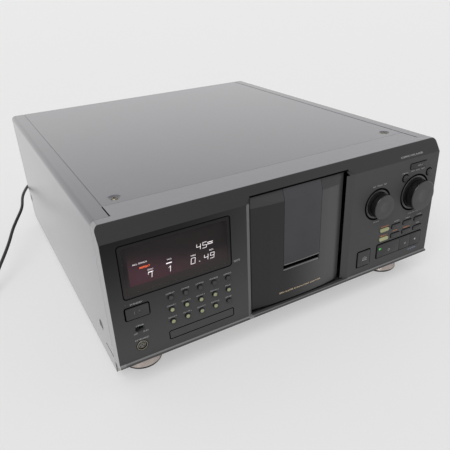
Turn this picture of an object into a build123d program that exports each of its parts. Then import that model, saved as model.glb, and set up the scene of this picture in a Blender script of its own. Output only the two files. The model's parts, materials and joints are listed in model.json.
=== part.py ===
from build123d import *
import os
from math import cos, hypot, pi, radians, sin, sqrt, tan

# A front-loading disc changer that stores its discs upright in a round carousel.
# It is drawn with X to the right, Y backwards from the flat of the front panel and Z up
# from the floor. save() then moves it so that the origin lies under its middle.

# ---- Overall ----
WIDTH = 430.0
FOOT_HEIGHT = 12.0
SHEET = 1.2                # steel sheet of chassis, cover and rear panel
GAP = 0.3                  # between neighbouring pieces
RUNNING = 0.06             # radial clearance of a shaft in its bearing

# ---- Front panel ----
WALL = 3.0
SIDE_WALL = 2.0
BAND_HEIGHT = 15.8         # the upper band, which leans back
BAND_LEAN = 10.0
PANEL_DEPTH = 20.0         # how far its sides reach back
STRIP_DEPTH = 44.7         # how far its top strip reaches back
STRIP_INSET = 19.8         # from the side to the ends of the top strip
FACE_CORNER = 6.0
LIP_RISE = 12.6            # from the underside's rear to the foot of the flat face
LIP_DROP = 2.0
LIP_PROUD = 2.5
LIP_EDGE = 1.2
UNDERSIDE_RISE = 11.6      # from the bottom of the casing to the underside's rear

# ---- Door opening and door ----
DOOR_SIDE_GAP = (1.0, 4.5)  # from the door to the left jamb and to the right one
JAMB_LEFT_BEVEL = (5.8, 4.0)     # width and depth of each bevel
JAMB_RIGHT_BEVEL = (7.3, 5.0)
JAMB_WIDTH = 9.0
JAMB_LEFT_DEPTH = 14.0
OPENING_OVER_CREASE = 4.9   # the opening reaches up into the band
OPENING_UNDER_FACE = 1.0   # the opening reaches down into the lip
DOOR_MIDDLE = 4.5
DOOR_HALF = 62.0
DOOR_FOLD = 38.5           # half width of the bowed middle
DOOR_BOW = 650.0           # radius of the bow
DOOR_FLANK_SLOPE = 0.12
DOOR_FACE = 1.0            # depth of its foremost line
DOOR_WALL = 3.0
DOOR_BACK = 12.0
DOOR_OVER_LIP = 2.4
DOOR_UNDER = 0.8           # between the door's top and the opening's top
FACET_UNDER = 8.4          # from the crease down to the sloped top of the door
DOOR_CLEAR = 0.6           # room for the door's sweep behind the panel
FACET_SLOPE = 3.0          # rise over run
DOOR_TRAVEL = 34.0         # degrees, read by the record
WINDOW_LEFT = -17.0
WINDOW_RIGHT = 34.0
WINDOW_BOTTOM = 85.5
WINDOW_SINK = 1.8
WINDOW_SEAM = 0.45
SCOOP_HEIGHT = 11.0
SCOOP_DEPTH = 3.2
SCOOP_BACKING = 2.6

# ---- Carousel and its drive ----
CAROUSEL_SIDE_ROOM = 12.0  # from the carousel's rim to the sides
CAROUSEL_BORE = 80.0
CAROUSEL_SHEET = 2.5
SLOTS = 300
SLOT_WIDTH = 2.2
FIN_DEPTH = 14.0
FIN_WALL = 3.0
FIN_HEIGHT = 41.5
INNER_WALL_HEIGHT = 13.5
DISC_RADIUS = 60.0
DOOR_TO_CAROUSEL = 7.0     # from the door's open back to the carousel's rim
GEAR_MODULE = 2.0
TABLE_TEETH = 88
PINION_TEETH = 11
GEAR_WIDTH = 6.5
GEAR_RISE = 1.0            # from the collar's foot to the gear
GEAR_COVER = 2.5           # from the gear wheel's top to the carousel's floor
GEAR_SPREAD = 0.35         # extra distance between the two gear centres
MOTOR_BEARING = 135.0      # direction of the drive motor from the carousel's centre
MOTOR_RADIUS = 13.0
MOTOR_HEIGHT = 10.5
MOTOR_SHAFT = 1.5

# ---- Player in the middle of the carousel ----
BASE_FLANGE = 84.0
BASE_WALL = 4.0
DECK_SHEET = 2.0
FRAME_UNDER = 21.0         # from the top of the cover down to the frame
DISC_CLEAR = 2.0           # under the disc that is played
DISC_OVER = 3.0            # over it, up to the bridge
BRIDGE_THICK = 6.5
FRAME_THICK = 4.0
FRAME_FACE = -10.0         # side of the frame that looks at the disc
FRAME_HALF = 62.0
PIVOT_RADIUS = 4.0
PIVOT_BOSS = 8.0
ARM_RISE = 3.4             # from the frame to the door's arm
ARM_THICK = 2.5
ARM_WIDTH = 24.0
TURNTABLE_RADIUS = 16.0
TURNTABLE_THICK = 4.0
DISC_HOLE_RADIUS = 7.5
DISC_FACE = -1.0           # where the disc's side rests
CENTRING_CONE = 3.5
SPINDLE_RADIUS = 1.5
SPINDLE_MOTOR_RADIUS = 12.0
SPINDLE_MOTOR_LENGTH = 12.0
RAIL_RADIUS = 1.5
RAIL_SPREAD = 19.0         # half distance between the two sled rails
SLED_INNER = 21.5
SLED_LENGTH = 20.5
SLED_TRAVEL = 33.0
SLED_THICK = 6.0
SLED_MARGIN = 4.0
LENS_RADIUS = 2.2
CLAMP_FACE = 3.5
CLAMP_THICK = 3.0
CLAMP_HALF = 20.0

# ---- Disc loading lever behind the carousel ----
LEVER_BEHIND = 16.0        # pivot behind the carousel's rim
REAR_SPACE = 27.0          # from the pivot to the cover's rear edge
LEVER_CLEAR = 1.0          # above the carousel's comb
LEVER_PIN = 2.5
LEVER_EYE = 7.0
LEVER_LENGTH = 70.0
LEVER_THICK = 5.0
EAR_THICK = 2.0
EAR_HALF = 7.5

# ---- Cover ----
COVER_CORNER = 6.0
SIDE_CREASE_RISE = 35.0    # from the bottom of the casing
CREASE_STEP = 0.4
GROOVE_WIDTH = 1.4
GROOVE_DEPTH = 0.7
COVER_BOTTOM_GAP = 0.5
SIDE_SLOT = (27.0, 1.8)    # length and height of the slot low at the front of each side
SIDE_SLOT_RISE = 19.5
SCREW_DIMPLE = 7.8
DIMPLE_DEPTH = 1.6
TOP_SCREW_INSET = 36.0
TOP_SCREW_Y = 59.0
SIDE_SCREW_RISE = 40.0
FLANGE_OVER_SCREW = 6.0
SIDE_SCREW_INSET = 54.0    # front ones from the face
REAR_SCREW_INSET = 14.0    # rear ones from the cover's rear edge
SCREW_HEAD = (3.6, 1.3)    # radius and height
SCREW_SHANK = (1.5, 7.0)
SCREW_HOLE = 1.8

# ---- Chassis and rear panel ----
CHASSIS_FRONT = 21.0
REAR_FLANGE_HEIGHT = 20.0
REAR_INSET = 2.0
FOOT_RADIUS = 22.5
FOOT_PAD = 2.8
FOOT_NECK = 17.5
FOOT_INSET = (36.0, 44.0)  # from the side and from either end
LUG_X = 130.0
LUG_HALF = 12.0
LUG_THICK = 2.5

# ---- Circuit boards ----
BOARD_THICK = 1.6
BOARD_FACE = 13.0          # front of the two boards behind the panel
BOARD_UNDER_FACE = 0.2
BOARD_UNDER = 2.2          # from the crease down to the boards
BOARD_INSET = 7.0
BOARD_TO_OPENING = (13.5, 24.0)  # from the opening to the left board and to the right one
BOARD_POST = 2.5
SWITCH_SIZE = 6.0
SWITCH_HEIGHT = 3.5
MAIN_BOARD_SIZE = (140.0, 100.0)
MAIN_BOARD_INSET = (15.0, 23.0)   # from the side and from the rear edge
CHIP_SIZE = (22.0, 3.0)    # side and height
CAN_SIZE = (5.0, 9.0)      # radius and height
STANDOFF = 6.0
STANDOFF_RADIUS = 3.0
TRANSFORMER_SIZE = (54.0, 48.0, 48.0)
TRANSFORMER_INSET = (9.0, 22.0)   # from the side and from the rear edge
COIL_MARGIN = 8.0
TRANSFORMER_FOOT = 3.0

# ---- Keys, dials and sockets on the front ----
# A place is a share of its side panel's width, from the panel's left end, and a share of the
# flat face's height, from its foot. Sizes are in millimetres.
KEY_GAP = 0.35
KEY_TRAVEL = 0.8
KEY_PROUD = 1.2
ROUND_PROUD = 1.8
KEY_FLANGE = 1.1
KEY_FLANGE_THICK = 0.8
STEM_RADIUS = 1.4
DISPLAY_SPAN = (0.0969, 0.8699)
DISPLAY_RISE = (0.5372, 0.9547)
DISPLAY_CORNER = 3.0
DISPLAY_SEAM = 0.5
DISPLAY_THICK = 2.4
DISPLAY_RIM = 2.0
TUBE_MARGIN = (7.0, 8.5)   # beside the display tube, and above and below it
TUBE_DEPTH = 6.5
ROUND_COLUMNS = 5
ROUND_ROWS = 3
ROUND_FIRST = (0.4035, 0.4409)
ROUND_PITCH = (0.10796, 0.10547)
ROUND_RADIUS = 2.8
OBLONG_COLUMNS = 4
OBLONG_FIRST = (0.4104, 0.373)
OBLONG_PITCH = (0.14411, 0.09197)
OBLONG_SIZE = (14.6, 4.9)
OBLONG_CORNER = 2.0
SQUARE_CORNER = 0.8
POWER_AT = (0.1692, 0.4153)
POWER_SIZE = (23.4, 12.6)
OPEN_AT = (0.1814, 0.1474)
OPEN_SIZE = (19.2, 20.4)
UPPER_KEY_AT = (0.7447, 0.9241)
UPPER_KEY_SIZE = (26.2, 6.2)
TRANSPORT_RISE = 0.162
TRANSPORT_HEIGHT = 17.6
TRANSPORT_EDGES = (0.3431, 0.6211, 0.7586, 0.8976)   # from the left end to the right one
SMALL_ROUND_AT = ((0.602, 0.8263), (0.8969, 0.8263))
SMALL_ROUND_RADIUS = 4.0
TIMER_AT = (0.1699, 0.2642)
TIMER_SIZE = (10.2, 6.2)
TIMER_RECESS = 1.4
TIMER_TRAVEL = 4.0
TIMER_KNOB = (3.2, 3.4)
SOCKET_AT = (0.1712, 0.1124)
SOCKET_RADIUS = 6.2
SOCKET_BORE = (4.75, 6.0)  # radius and depth of the room for the plug
SOCKET_BLOCK = 7.5
INSERT_SPAN = (0.3689, 0.8726)
INSERT_RISE = (0.0686, 0.1445)
INSERT_CORNER = 1.5
INSERT_LINE = 0.7
INSERT_SINK = 0.6
DIAL_AT = ((0.2941, 0.6569), (0.741, 0.6606))
DIAL_RADIUS = (15.4, 18.9)
DIAL_PROUD = (11.6, 13.8)
DIAL_RING = (20.5, 24.1)   # outer radius of the groove round each dial
RING_WIDTH = 1.2
RING_SINK = 1.0
DIAL_BASE_GAP = 1.1
DIAL_EDGE = 0.6
DIAL_DISH = (0.42, 0.5)    # share of the radius, and depth
SHAFT_RADIUS = 3.0
SHAFT_SEAT = 3.0           # from the dial's face to the shaft's end
ENCODER_SIZE = 13.0
ENCODER_DEPTH = 7.5

# ---- Sockets at the rear ----
JACK_INSETS = (65.0, 47.0)       # from the right side
JACK_Z = 62.0
JACK_RADIUS = 4.15
JACK_LENGTH = 8.0
JACK_BORE = (1.7, 7.0)
JACK_COLLAR = 5.4
CONTROL_JACK_INSET = 28.0
CONTROL_JACK_RADIUS = 3.6
CONTROL_JACK_BORE = (1.8, 9.0)
CONTROL_JACK_LENGTH = 2.5
JACK_BLOCK_MARGIN = 8.0
JACK_BLOCK_DEPTH = 12.0

# ---- Mains lead: its route is read by hand and stays as chosen ----
CORD_DIAMETER = 4.5
EXIT_INSET = 75.0
EXIT_HEIGHT = 62.0
RELIEF_LENGTH = 22.0
RELIEF_RADIUS = (4.5, 3.0)
RELIEF_COLLAR = (7.5, 2.0)
ROUTE = [
    (-140, 510, 62), (-156, 527, 62), (-179, 527, 62), (-198, 513, 62), (-212, 493, 61.7),
    (-222, 470, 61.3), (-230, 446, 60.5), (-236, 412, 56.5), (-250, 384, 51), (-261, 363, 45),
    (-270, 339, 39), (-281, 317, 32), (-293, 297, 24), (-306, 276, 13), (-319, 252, 4.6),
    (-328, 222, 2.6), (-336, 196, 2.3),
]
COIL_MEAN_RADIUS = 25.0
COIL_ROWS = 4              # turns side by side
COIL_LAYERS = 2
PLUG_BODY = (26.0, 17.0, 12.0)
PLUG_PINS = (18.0, 6.4, 1.6)   # length, width and thickness of a blade
PLUG_PIN_SPREAD = 12.7
PLUG_TAIL = 12.0
PLUG_TAIL_SIDE = 7.0
PLUG_START = 1.5           # from where the lead leaves the coil's outline
PLUG_CORNER = 2.5

# ---- Worked out from the above: the discs set the height, the carousel sets the depth ----
HALF = WIDTH / 2
FLOOR_TOP = FOOT_HEIGHT + SHEET
COLLAR_BOTTOM = FLOOR_TOP + MOTOR_HEIGHT + GAP
GEAR_LOW = COLLAR_BOTTOM + GEAR_RISE
CAROUSEL_FLOOR = GEAR_LOW + GEAR_WIDTH + GEAR_COVER
CAROUSEL_TOP = CAROUSEL_FLOOR + CAROUSEL_SHEET
PLAY_HEIGHT = CAROUSEL_TOP + DISC_RADIUS + DISC_CLEAR
BRIDGE_LOW = PLAY_HEIGHT + DISC_RADIUS + DISC_OVER
FRAME_TOP = BRIDGE_LOW + BRIDGE_THICK
ARM_BOTTOM = FRAME_TOP + ARM_RISE
HEIGHT = FRAME_TOP + FRAME_UNDER
CREASE = HEIGHT - BAND_HEIGHT
UNDERSIDE_REAR = FOOT_HEIGHT + UNDERSIDE_RISE
LIP_TOP = UNDERSIDE_REAR + LIP_RISE
OPENING_TOP = CREASE + OPENING_OVER_CREASE
OPENING_BOTTOM = LIP_TOP - OPENING_UNDER_FACE
DOOR_TOP = OPENING_TOP - DOOR_UNDER
DOOR_BOTTOM = LIP_TOP + DOOR_OVER_LIP
FACET_BOTTOM = CREASE - FACET_UNDER
BOARD_HIGH = CREASE - BOARD_UNDER
BOARD_LOW = LIP_TOP - BOARD_UNDER_FACE
CREASE_HEIGHT = FOOT_HEIGHT + SIDE_CREASE_RISE
SIDE_SLOT_HEIGHT = FOOT_HEIGHT + SIDE_SLOT_RISE
SIDE_SCREW_HEIGHT = FOOT_HEIGHT + SIDE_SCREW_RISE
FLANGE_HEIGHT = SIDE_SCREW_HEIGHT + FLANGE_OVER_SCREW

CAROUSEL_RADIUS = HALF - CAROUSEL_SIDE_ROOM
AXIS_Y = DOOR_BACK + DOOR_TO_CAROUSEL + CAROUSEL_RADIUS
LEVER_Y = AXIS_Y + CAROUSEL_RADIUS + LEVER_BEHIND
LEVER_PIVOT_HEIGHT = CAROUSEL_TOP + FIN_HEIGHT + LEVER_EYE + LEVER_CLEAR
DEPTH = LEVER_Y + REAR_SPACE      # flat of the front panel to the rear edge of the cover
REAR_FACE = DEPTH - REAR_INSET
REAR_INNER = REAR_FACE - SHEET
REAR_REACH = REAR_FACE + JACK_LENGTH
FRONT_REACH = max(DIAL_PROUD)
MIDDLE_Y = (REAR_REACH - FRONT_REACH) / 2

OPENING_LEFT = DOOR_MIDDLE - DOOR_HALF - DOOR_SIDE_GAP[0]     # inner edges of the jambs
OPENING_RIGHT = DOOR_MIDDLE + DOOR_HALF + DOOR_SIDE_GAP[1]
COVER_INNER = HALF - SHEET
CHASSIS_HALF = COVER_INNER - GAP
STRIP_HALF = HALF - STRIP_INSET
TOP_SCREW_X = HALF - TOP_SCREW_INSET
LEFT_BOARD = (-HALF + BOARD_INSET, OPENING_LEFT - BOARD_TO_OPENING[0])
RIGHT_BOARD = (OPENING_RIGHT + BOARD_TO_OPENING[1], HALF - BOARD_INSET)
JACK_X = [HALF - inset for inset in JACK_INSETS]
CONTROL_JACK_X = HALF - CONTROL_JACK_INSET
CORD_EXIT = (-HALF + EXIT_INSET, EXIT_HEIGHT)
MAIN_BOARD_X = (HALF - MAIN_BOARD_INSET[0] - MAIN_BOARD_SIZE[0], HALF - MAIN_BOARD_INSET[0])
MAIN_BOARD_Y = (DEPTH - MAIN_BOARD_INSET[1] - MAIN_BOARD_SIZE[1], DEPTH - MAIN_BOARD_INSET[1])
DOOR_FOLD_Y = DOOR_FACE + DOOR_FOLD**2 / (2 * DOOR_BOW)
DOOR_EDGE_Y = DOOR_FOLD_Y + DOOR_FLANK_SLOPE * (DOOR_HALF - DOOR_FOLD)
DOOR_REACH = hypot(DOOR_MIDDLE + DOOR_HALF, AXIS_Y - DOOR_EDGE_Y)
FRAME_BACK = FRAME_FACE - FRAME_THICK
SLED_OUTER = SLED_INNER + SLED_LENGTH
PINION_REACH = GEAR_MODULE * (TABLE_TEETH + PINION_TEETH) / 2 + GEAR_SPREAD
PINION_AT = (
    PINION_REACH * cos(radians(MOTOR_BEARING)),
    AXIS_Y + PINION_REACH * sin(radians(MOTOR_BEARING)),
)
STEM_END = BOARD_FACE - SWITCH_HEIGHT - KEY_TRAVEL - GAP


def left_panel(across, up=0.0):
    """A place on the panel left of the door, from its shares."""
    left, right = -HALF, OPENING_LEFT - JAMB_LEFT_BEVEL[0]
    return (left + across * (right - left), LIP_TOP + up * (CREASE - LIP_TOP))


def right_panel(across, up=0.0):
    """A place on the panel right of the door, from its shares."""
    left, right = OPENING_RIGHT + JAMB_RIGHT_BEVEL[0], HALF
    return (left + across * (right - left), LIP_TOP + up * (CREASE - LIP_TOP))


def left_field(across, up):
    """Low and high X, and low and high Z, of a field on the left panel."""
    corners = [left_panel(*shares) for shares in zip(across, up)]
    return tuple(zip(*corners))


DISPLAY_X, DISPLAY_Z = left_field(DISPLAY_SPAN, DISPLAY_RISE)
INSERT_X, INSERT_Z = left_field(INSERT_SPAN, INSERT_RISE)
POWER, TIMER, SOCKET = [left_panel(*shares) for shares in (POWER_AT, TIMER_AT, SOCKET_AT)]
OPEN, UPPER_KEY = [right_panel(*shares) for shares in (OPEN_AT, UPPER_KEY_AT)]
SMALL_ROUND = [right_panel(*shares) for shares in SMALL_ROUND_AT]
DIALS = [right_panel(*shares) for shares in DIAL_AT]
TRANSPORT_X = [right_panel(share)[0] for share in TRANSPORT_EDGES]
TRANSPORT_Z = right_panel(0, TRANSPORT_RISE)[1]


# ---- Helpers ----
def save(node, shape):
    """Centres the piece on the origin and writes it."""
    export_step(Pos(0, -MIDDLE_Y, 0) * shape, f"parts/{node}.step")


def block(x, y, z):
    """A box from its low and high place along each axis."""
    sides = (x, y, z)
    size = [high - low for low, high in sides]
    return Pos(*[(low + high) / 2 for low, high in sides]) * Box(*size)


def span(middle, length):
    return (middle - length / 2, middle + length / 2)


def upright(x, y, radius, low, high):
    return Pos(x, y, (low + high) / 2) * Cylinder(radius, high - low)


def along_y(x, z, radius, front, back):
    return Pos(x, (front + back) / 2, z) * Rot(90, 0, 0) * Cylinder(radius, back - front)


def along_x(y, z, radius, left, right):
    return Pos((left + right) / 2, y, z) * Rot(0, 90, 0) * Cylinder(radius, right - left)


def front_shape(sketch, front, back):
    """A sketch seen from the front, X across and Z up, filled from front to back."""
    plane = Plane(origin=(0, front, 0), x_dir=(1, 0, 0), z_dir=(0, -1, 0))
    return extrude(plane * sketch, amount=back - front, dir=(0, 1, 0))


def side_shape(points, left, right):
    """A polygon of Y and Z places, filled from left to right."""
    plane = Plane(origin=(left, 0, 0), x_dir=(0, 1, 0), z_dir=(1, 0, 0))
    return extrude(plane * Polygon(*points, align=None), amount=right - left, dir=(1, 0, 0))


def plan_shape(sketch, low, high):
    return extrude(Pos(0, 0, low) * sketch, amount=high - low, dir=(0, 0, 1))


def outline(size, corner, grow=0.0):
    """The outline of a key: a rounded rectangle, or a circle when size is one radius."""
    if isinstance(size, float):
        return Circle(size + grow)
    return RectangleRounded(size[0] + 2 * grow, size[1] + 2 * grow, corner + grow)


def at(place, sketch):
    return Pos(*place) * sketch


# ---- Where the keys are ----
def key_table():
    """Each key's node, place, size, corner radius and how proud it stands."""
    keys = []
    for row in range(ROUND_ROWS):
        for column in range(ROUND_COLUMNS):
            place = left_panel(
                ROUND_FIRST[0] + column * ROUND_PITCH[0], ROUND_FIRST[1] - row * ROUND_PITCH[1]
            )
            number = row * ROUND_COLUMNS + column + 1
            keys.append((f"round_button_{number:02d}", place, ROUND_RADIUS, 0, ROUND_PROUD))
    for row in range(2):
        for column in range(OBLONG_COLUMNS):
            place = right_panel(
                OBLONG_FIRST[0] + column * OBLONG_PITCH[0],
                OBLONG_FIRST[1] - row * OBLONG_PITCH[1],
            )
            number = row * OBLONG_COLUMNS + column + 1
            keys.append((f"oblong_key_{number}", place, OBLONG_SIZE, OBLONG_CORNER, KEY_PROUD))
    for number, place in enumerate(SMALL_ROUND, 1):
        keys.append((f"small_round_key_{number}", place, SMALL_ROUND_RADIUS, 0, KEY_PROUD))
    keys.append(("power_button", POWER, POWER_SIZE, SQUARE_CORNER, KEY_PROUD))
    keys.append(("open_close_key", OPEN, OPEN_SIZE, SQUARE_CORNER, KEY_PROUD))
    keys.append(("upper_key", UPPER_KEY, UPPER_KEY_SIZE, SQUARE_CORNER, KEY_PROUD))
    return keys


def transport_keys():
    """The three keys that share one opening, with the gap between them taken off."""
    keys = []
    for name, left, right in zip(
        ("play_key", "pause_key", "stop_key"), TRANSPORT_X, TRANSPORT_X[1:]
    ):
        width = right - left - 2 * KEY_GAP
        keys.append((name, ((left + right) / 2, TRANSPORT_Z), (width, TRANSPORT_HEIGHT)))
    return keys


def key_cap(place, size, corner, proud, flange):
    """A cap that stands proud of the panel, with a flange behind it and a stem."""
    seat = WALL + GAP
    cap = front_shape(at(place, outline(size, corner)), -proud, seat)
    rim = front_shape(at(place, flange), seat, seat + KEY_FLANGE_THICK)
    stem = along_y(*place, STEM_RADIUS, seat, STEM_END)
    return cap + rim + stem


# ---- Casing ----
def panel_profile(inset, bottom_inset, reach):
    """The front panel from the side, or the room behind its wall."""
    return [
        (reach, HEIGHT - inset),
        (BAND_LEAN + inset, HEIGHT - inset),
        (inset, CREASE),
        (inset, LIP_TOP),
        (inset - (0 if inset else LIP_PROUD), LIP_TOP - (0 if inset else LIP_DROP)),
        (inset - (0 if inset else LIP_PROUD), LIP_TOP - (0 if inset else LIP_DROP + LIP_EDGE)),
        (reach, UNDERSIDE_REAR + bottom_inset),
    ]


def front_panel():
    shell = side_shape(panel_profile(0, 0, PANEL_DEPTH), -HALF, HALF)
    middle_z = (HEIGHT + UNDERSIDE_REAR) / 2
    frame = at((0, middle_z), RectangleRounded(WIDTH, HEIGHT - UNDERSIDE_REAR, FACE_CORNER))
    shell &= front_shape(frame, -LIP_PROUD - 1, PANEL_DEPTH + 1)
    inner = [
        (PANEL_DEPTH + 1, HEIGHT - SIDE_WALL),
        (BAND_LEAN + WALL, HEIGHT - SIDE_WALL),
        (WALL, CREASE - 1),
        (WALL, LIP_TOP - 1),
        (PANEL_DEPTH + 1, UNDERSIDE_REAR + LUG_THICK),
    ]
    shell -= side_shape(inner, -HALF + SIDE_WALL, HALF - SIDE_WALL)
    strip = block(
        (-STRIP_HALF, STRIP_HALF), (PANEL_DEPTH - 2, STRIP_DEPTH), (HEIGHT - SIDE_WALL, HEIGHT)
    )
    jambs = [
        block(
            (OPENING_LEFT - JAMB_WIDTH, OPENING_LEFT),
            (WALL - 1, JAMB_LEFT_DEPTH),
            (LIP_TOP, CREASE - 2),
        ),
        block(
            (OPENING_RIGHT, OPENING_RIGHT + JAMB_WIDTH),
            (WALL - 1, JAMB_RIGHT_BEVEL[1]),
            (LIP_TOP, CREASE - 2),
        ),
    ]
    lugs = [
        block(
            span(side * LUG_X, 2 * LUG_HALF),
            (PANEL_DEPTH - 3, CHASSIS_FRONT + 8),
            (UNDERSIDE_REAR, UNDERSIDE_REAR + LUG_THICK),
        )
        for side in (-1, 1)
    ]
    posts = [
        along_y(x, z, BOARD_POST, WALL - 1, BOARD_FACE) for x, z in board_posts()
    ]
    sweep_top = DOOR_TOP + DOOR_CLEAR
    sweep = upright(0, AXIS_Y, DOOR_REACH + DOOR_CLEAR, DOOR_BOTTOM - DOOR_CLEAR, sweep_top)
    sweep &= block((OPENING_RIGHT - 1, HALF), (0, PANEL_DEPTH), (DOOR_BOTTOM - DOOR_CLEAR, sweep_top))
    return (shell + [strip, *jambs, *lugs, *posts]) - [sweep, *front_cuts()]


def board_posts():
    """Where the panel's pillars carry the two boards, near their corners."""
    edge = 2 * BOARD_POST
    lows = (BOARD_LOW + edge, BOARD_HIGH - 2 * edge)
    left = [(LEFT_BOARD[0] + edge / 2, z) for z in lows] + [(LEFT_BOARD[1] - edge / 2, z) for z in lows]
    right = [(RIGHT_BOARD[1] - edge / 2, z) for z in lows] + [(RIGHT_BOARD[0] + edge, lows[1])]
    return left + right


def front_cuts():
    opening = Polygon(
        (OPENING_LEFT - JAMB_LEFT_BEVEL[0], 0),
        (OPENING_LEFT - JAMB_LEFT_BEVEL[0], -LIP_PROUD - 1),
        (OPENING_RIGHT + JAMB_RIGHT_BEVEL[0], -LIP_PROUD - 1),
        (OPENING_RIGHT + JAMB_RIGHT_BEVEL[0], 0),
        (OPENING_RIGHT, JAMB_RIGHT_BEVEL[1]),
        (OPENING_RIGHT, PANEL_DEPTH),
        (OPENING_LEFT, PANEL_DEPTH),
        (OPENING_LEFT, JAMB_LEFT_BEVEL[1]),
        align=None,
    )
    cuts = [plan_shape(opening, OPENING_BOTTOM, OPENING_TOP)]
    display = RectangleRounded(
        DISPLAY_X[1] - DISPLAY_X[0], DISPLAY_Z[1] - DISPLAY_Z[0], DISPLAY_CORNER
    )
    cuts.append(front_shape(at(middle_of(DISPLAY_X, DISPLAY_Z), display), -1, WALL + 1))
    for _, place, size, corner, _ in key_table():
        cuts.append(front_shape(at(place, outline(size, corner, KEY_GAP)), -1, WALL + 1))
    transport = (TRANSPORT_X[-1] - TRANSPORT_X[0], TRANSPORT_HEIGHT + 2 * KEY_GAP)
    bar_middle = ((TRANSPORT_X[0] + TRANSPORT_X[-1]) / 2, TRANSPORT_Z)
    cuts.append(front_shape(at(bar_middle, Rectangle(*transport)), -1, WALL + 1))
    cuts.append(front_shape(at(TIMER, stadium(TIMER_SIZE)), -1, TIMER_RECESS))
    slot = (TIMER_TRAVEL + TIMER_KNOB[0] + 2 * GAP, TIMER_KNOB[1] + 2 * GAP)
    cuts.append(front_shape(at(TIMER, Rectangle(*slot)), -1, WALL + 1))
    cuts.append(along_y(*SOCKET, SOCKET_RADIUS + GAP, -1, WALL + 1))
    size = (INSERT_X[1] - INSERT_X[0], INSERT_Z[1] - INSERT_Z[0])
    groove = RectangleRounded(*size, INSERT_CORNER) - RectangleRounded(
        size[0] - 2 * INSERT_LINE, size[1] - 2 * INSERT_LINE, INSERT_CORNER - INSERT_LINE
    )
    cuts.append(front_shape(at(middle_of(INSERT_X, INSERT_Z), groove), -1, INSERT_SINK))
    for place, ring in zip(DIALS, DIAL_RING):
        groove = Circle(ring) - Circle(ring - RING_WIDTH)
        cuts.append(front_shape(at(place, groove), -1, RING_SINK))
        cuts.append(along_y(*place, SHAFT_RADIUS + 2 * GAP, -1, WALL + 1))
    return cuts


def middle_of(x, z):
    return ((x[0] + x[1]) / 2, (z[0] + z[1]) / 2)


def stadium(size):
    return SlotOverall(size[0], size[1])


def display_window():
    """Smoked window, glued to the back of the panel by its rim."""
    place = middle_of(DISPLAY_X, DISPLAY_Z)
    size = (DISPLAY_X[1] - DISPLAY_X[0], DISPLAY_Z[1] - DISPLAY_Z[0])
    pane = outline(size, DISPLAY_CORNER, -DISPLAY_SEAM)
    rim = outline(size, DISPLAY_CORNER, DISPLAY_RIM)
    rim_thick = DISPLAY_THICK / 2
    return front_shape(at(place, pane), GAP, WALL) + front_shape(
        at(place, rim), WALL, WALL + rim_thick
    )


def cover_section(grow):
    """The folded cover seen from the front, or the room under it."""
    high = HEIGHT - grow
    low = FOOT_HEIGHT + COVER_BOTTOM_GAP - grow * 10
    width = WIDTH - 2 * grow
    corner = COVER_CORNER - grow
    sketch = at((0, (high + low) / 2), RectangleRounded(width, high - low, corner))
    return sketch + at((0, low + (high - low) / 4), Rectangle(width, (high - low) / 2))


def screw_places():
    """Each cover screw: a point on the outer skin and the direction it looks."""
    rear_y = DEPTH - REAR_SCREW_INSET
    places = [((side * TOP_SCREW_X, TOP_SCREW_Y, HEIGHT), (0, 0, 1)) for side in (-1, 1)]
    for side in (-1, 1):
        for y in (SIDE_SCREW_INSET, rear_y):
            places.append(((side * HALF, y, SIDE_SCREW_HEIGHT), (side, 0, 0)))
    return places


def along(place, direction, radius, outside, inside, tip=None):
    """A round stock about a screw's line, from outside the skin to inside it."""
    plane = Plane(origin=Vector(*place) + Vector(*direction) * outside, z_dir=direction)
    length = outside - inside
    if tip is None:
        return plane * Pos(0, 0, -length / 2) * Cylinder(radius, length)
    return plane * Pos(0, 0, -length / 2) * Cone(tip, radius, length)


def top_cover():
    shell = front_shape(cover_section(0), PANEL_DEPTH + GAP, DEPTH)
    shell -= front_shape(cover_section(SHEET), PANEL_DEPTH - 1, DEPTH + 1)
    shell -= block(
        (-HALF - 1, HALF + 1), (0, DEPTH + 1), (0, FOOT_HEIGHT + COVER_BOTTOM_GAP)
    )
    notch = STRIP_HALF + GROOVE_WIDTH - GAP
    shell -= block((-notch, notch), (0, STRIP_DEPTH + GAP), (HEIGHT - 2 * SHEET, HEIGHT + 1))
    ribs, cuts = [], []
    for side in (-1, 1):
        groove_x = side * (STRIP_HALF + GROOVE_WIDTH / 2)
        along_cover = (STRIP_DEPTH + GAP, DEPTH)
        ribs.append(
            block(span(groove_x, 4 * GROOVE_WIDTH), along_cover, (HEIGHT - 2 * SHEET, HEIGHT - SHEET))
        )
        cuts.append(
            block(span(groove_x, GROOVE_WIDTH), (0, DEPTH + 1), (HEIGHT - GROOVE_DEPTH, HEIGHT + 1))
        )
        skin = side * HALF
        cuts.append(
            block(
                sorted((skin - side * CREASE_STEP, skin + side)),
                (0, DEPTH + 1),
                (0, CREASE_HEIGHT),
            )
        )
        slot_y = PANEL_DEPTH + SIDE_SLOT[0] / 2 + 1
        cuts.append(
            block(
                sorted((skin - side * 2 * SHEET, skin + side)),
                span(slot_y, SIDE_SLOT[0]),
                span(SIDE_SLOT_HEIGHT, SIDE_SLOT[1]),
            )
        )
    for place, direction in screw_places():
        ribs.append(along(place, direction, SCREW_DIMPLE, -SHEET / 2, -DIMPLE_DEPTH - SHEET))
        cuts.append(
            along(place, direction, SCREW_DIMPLE - 0.8, 0.01, -DIMPLE_DEPTH, SCREW_HEAD[0] + 1)
        )
        cuts.append(along(place, direction, SCREW_HOLE, 1, -2 * DIMPLE_DEPTH - SHEET))
    return (shell + ribs) - cuts


def cover_screws():
    """Round-headed screws, one in each dimple."""
    screws = []
    for place, direction in screw_places():
        seat = -DIMPLE_DEPTH
        head = along(place, direction, SCREW_HEAD[0], seat + SCREW_HEAD[1], seat)
        shank = along(place, direction, SCREW_SHANK[0], seat, seat - SCREW_SHANK[1])
        screws.append(head + shank)
    return Compound(children=screws)


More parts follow.
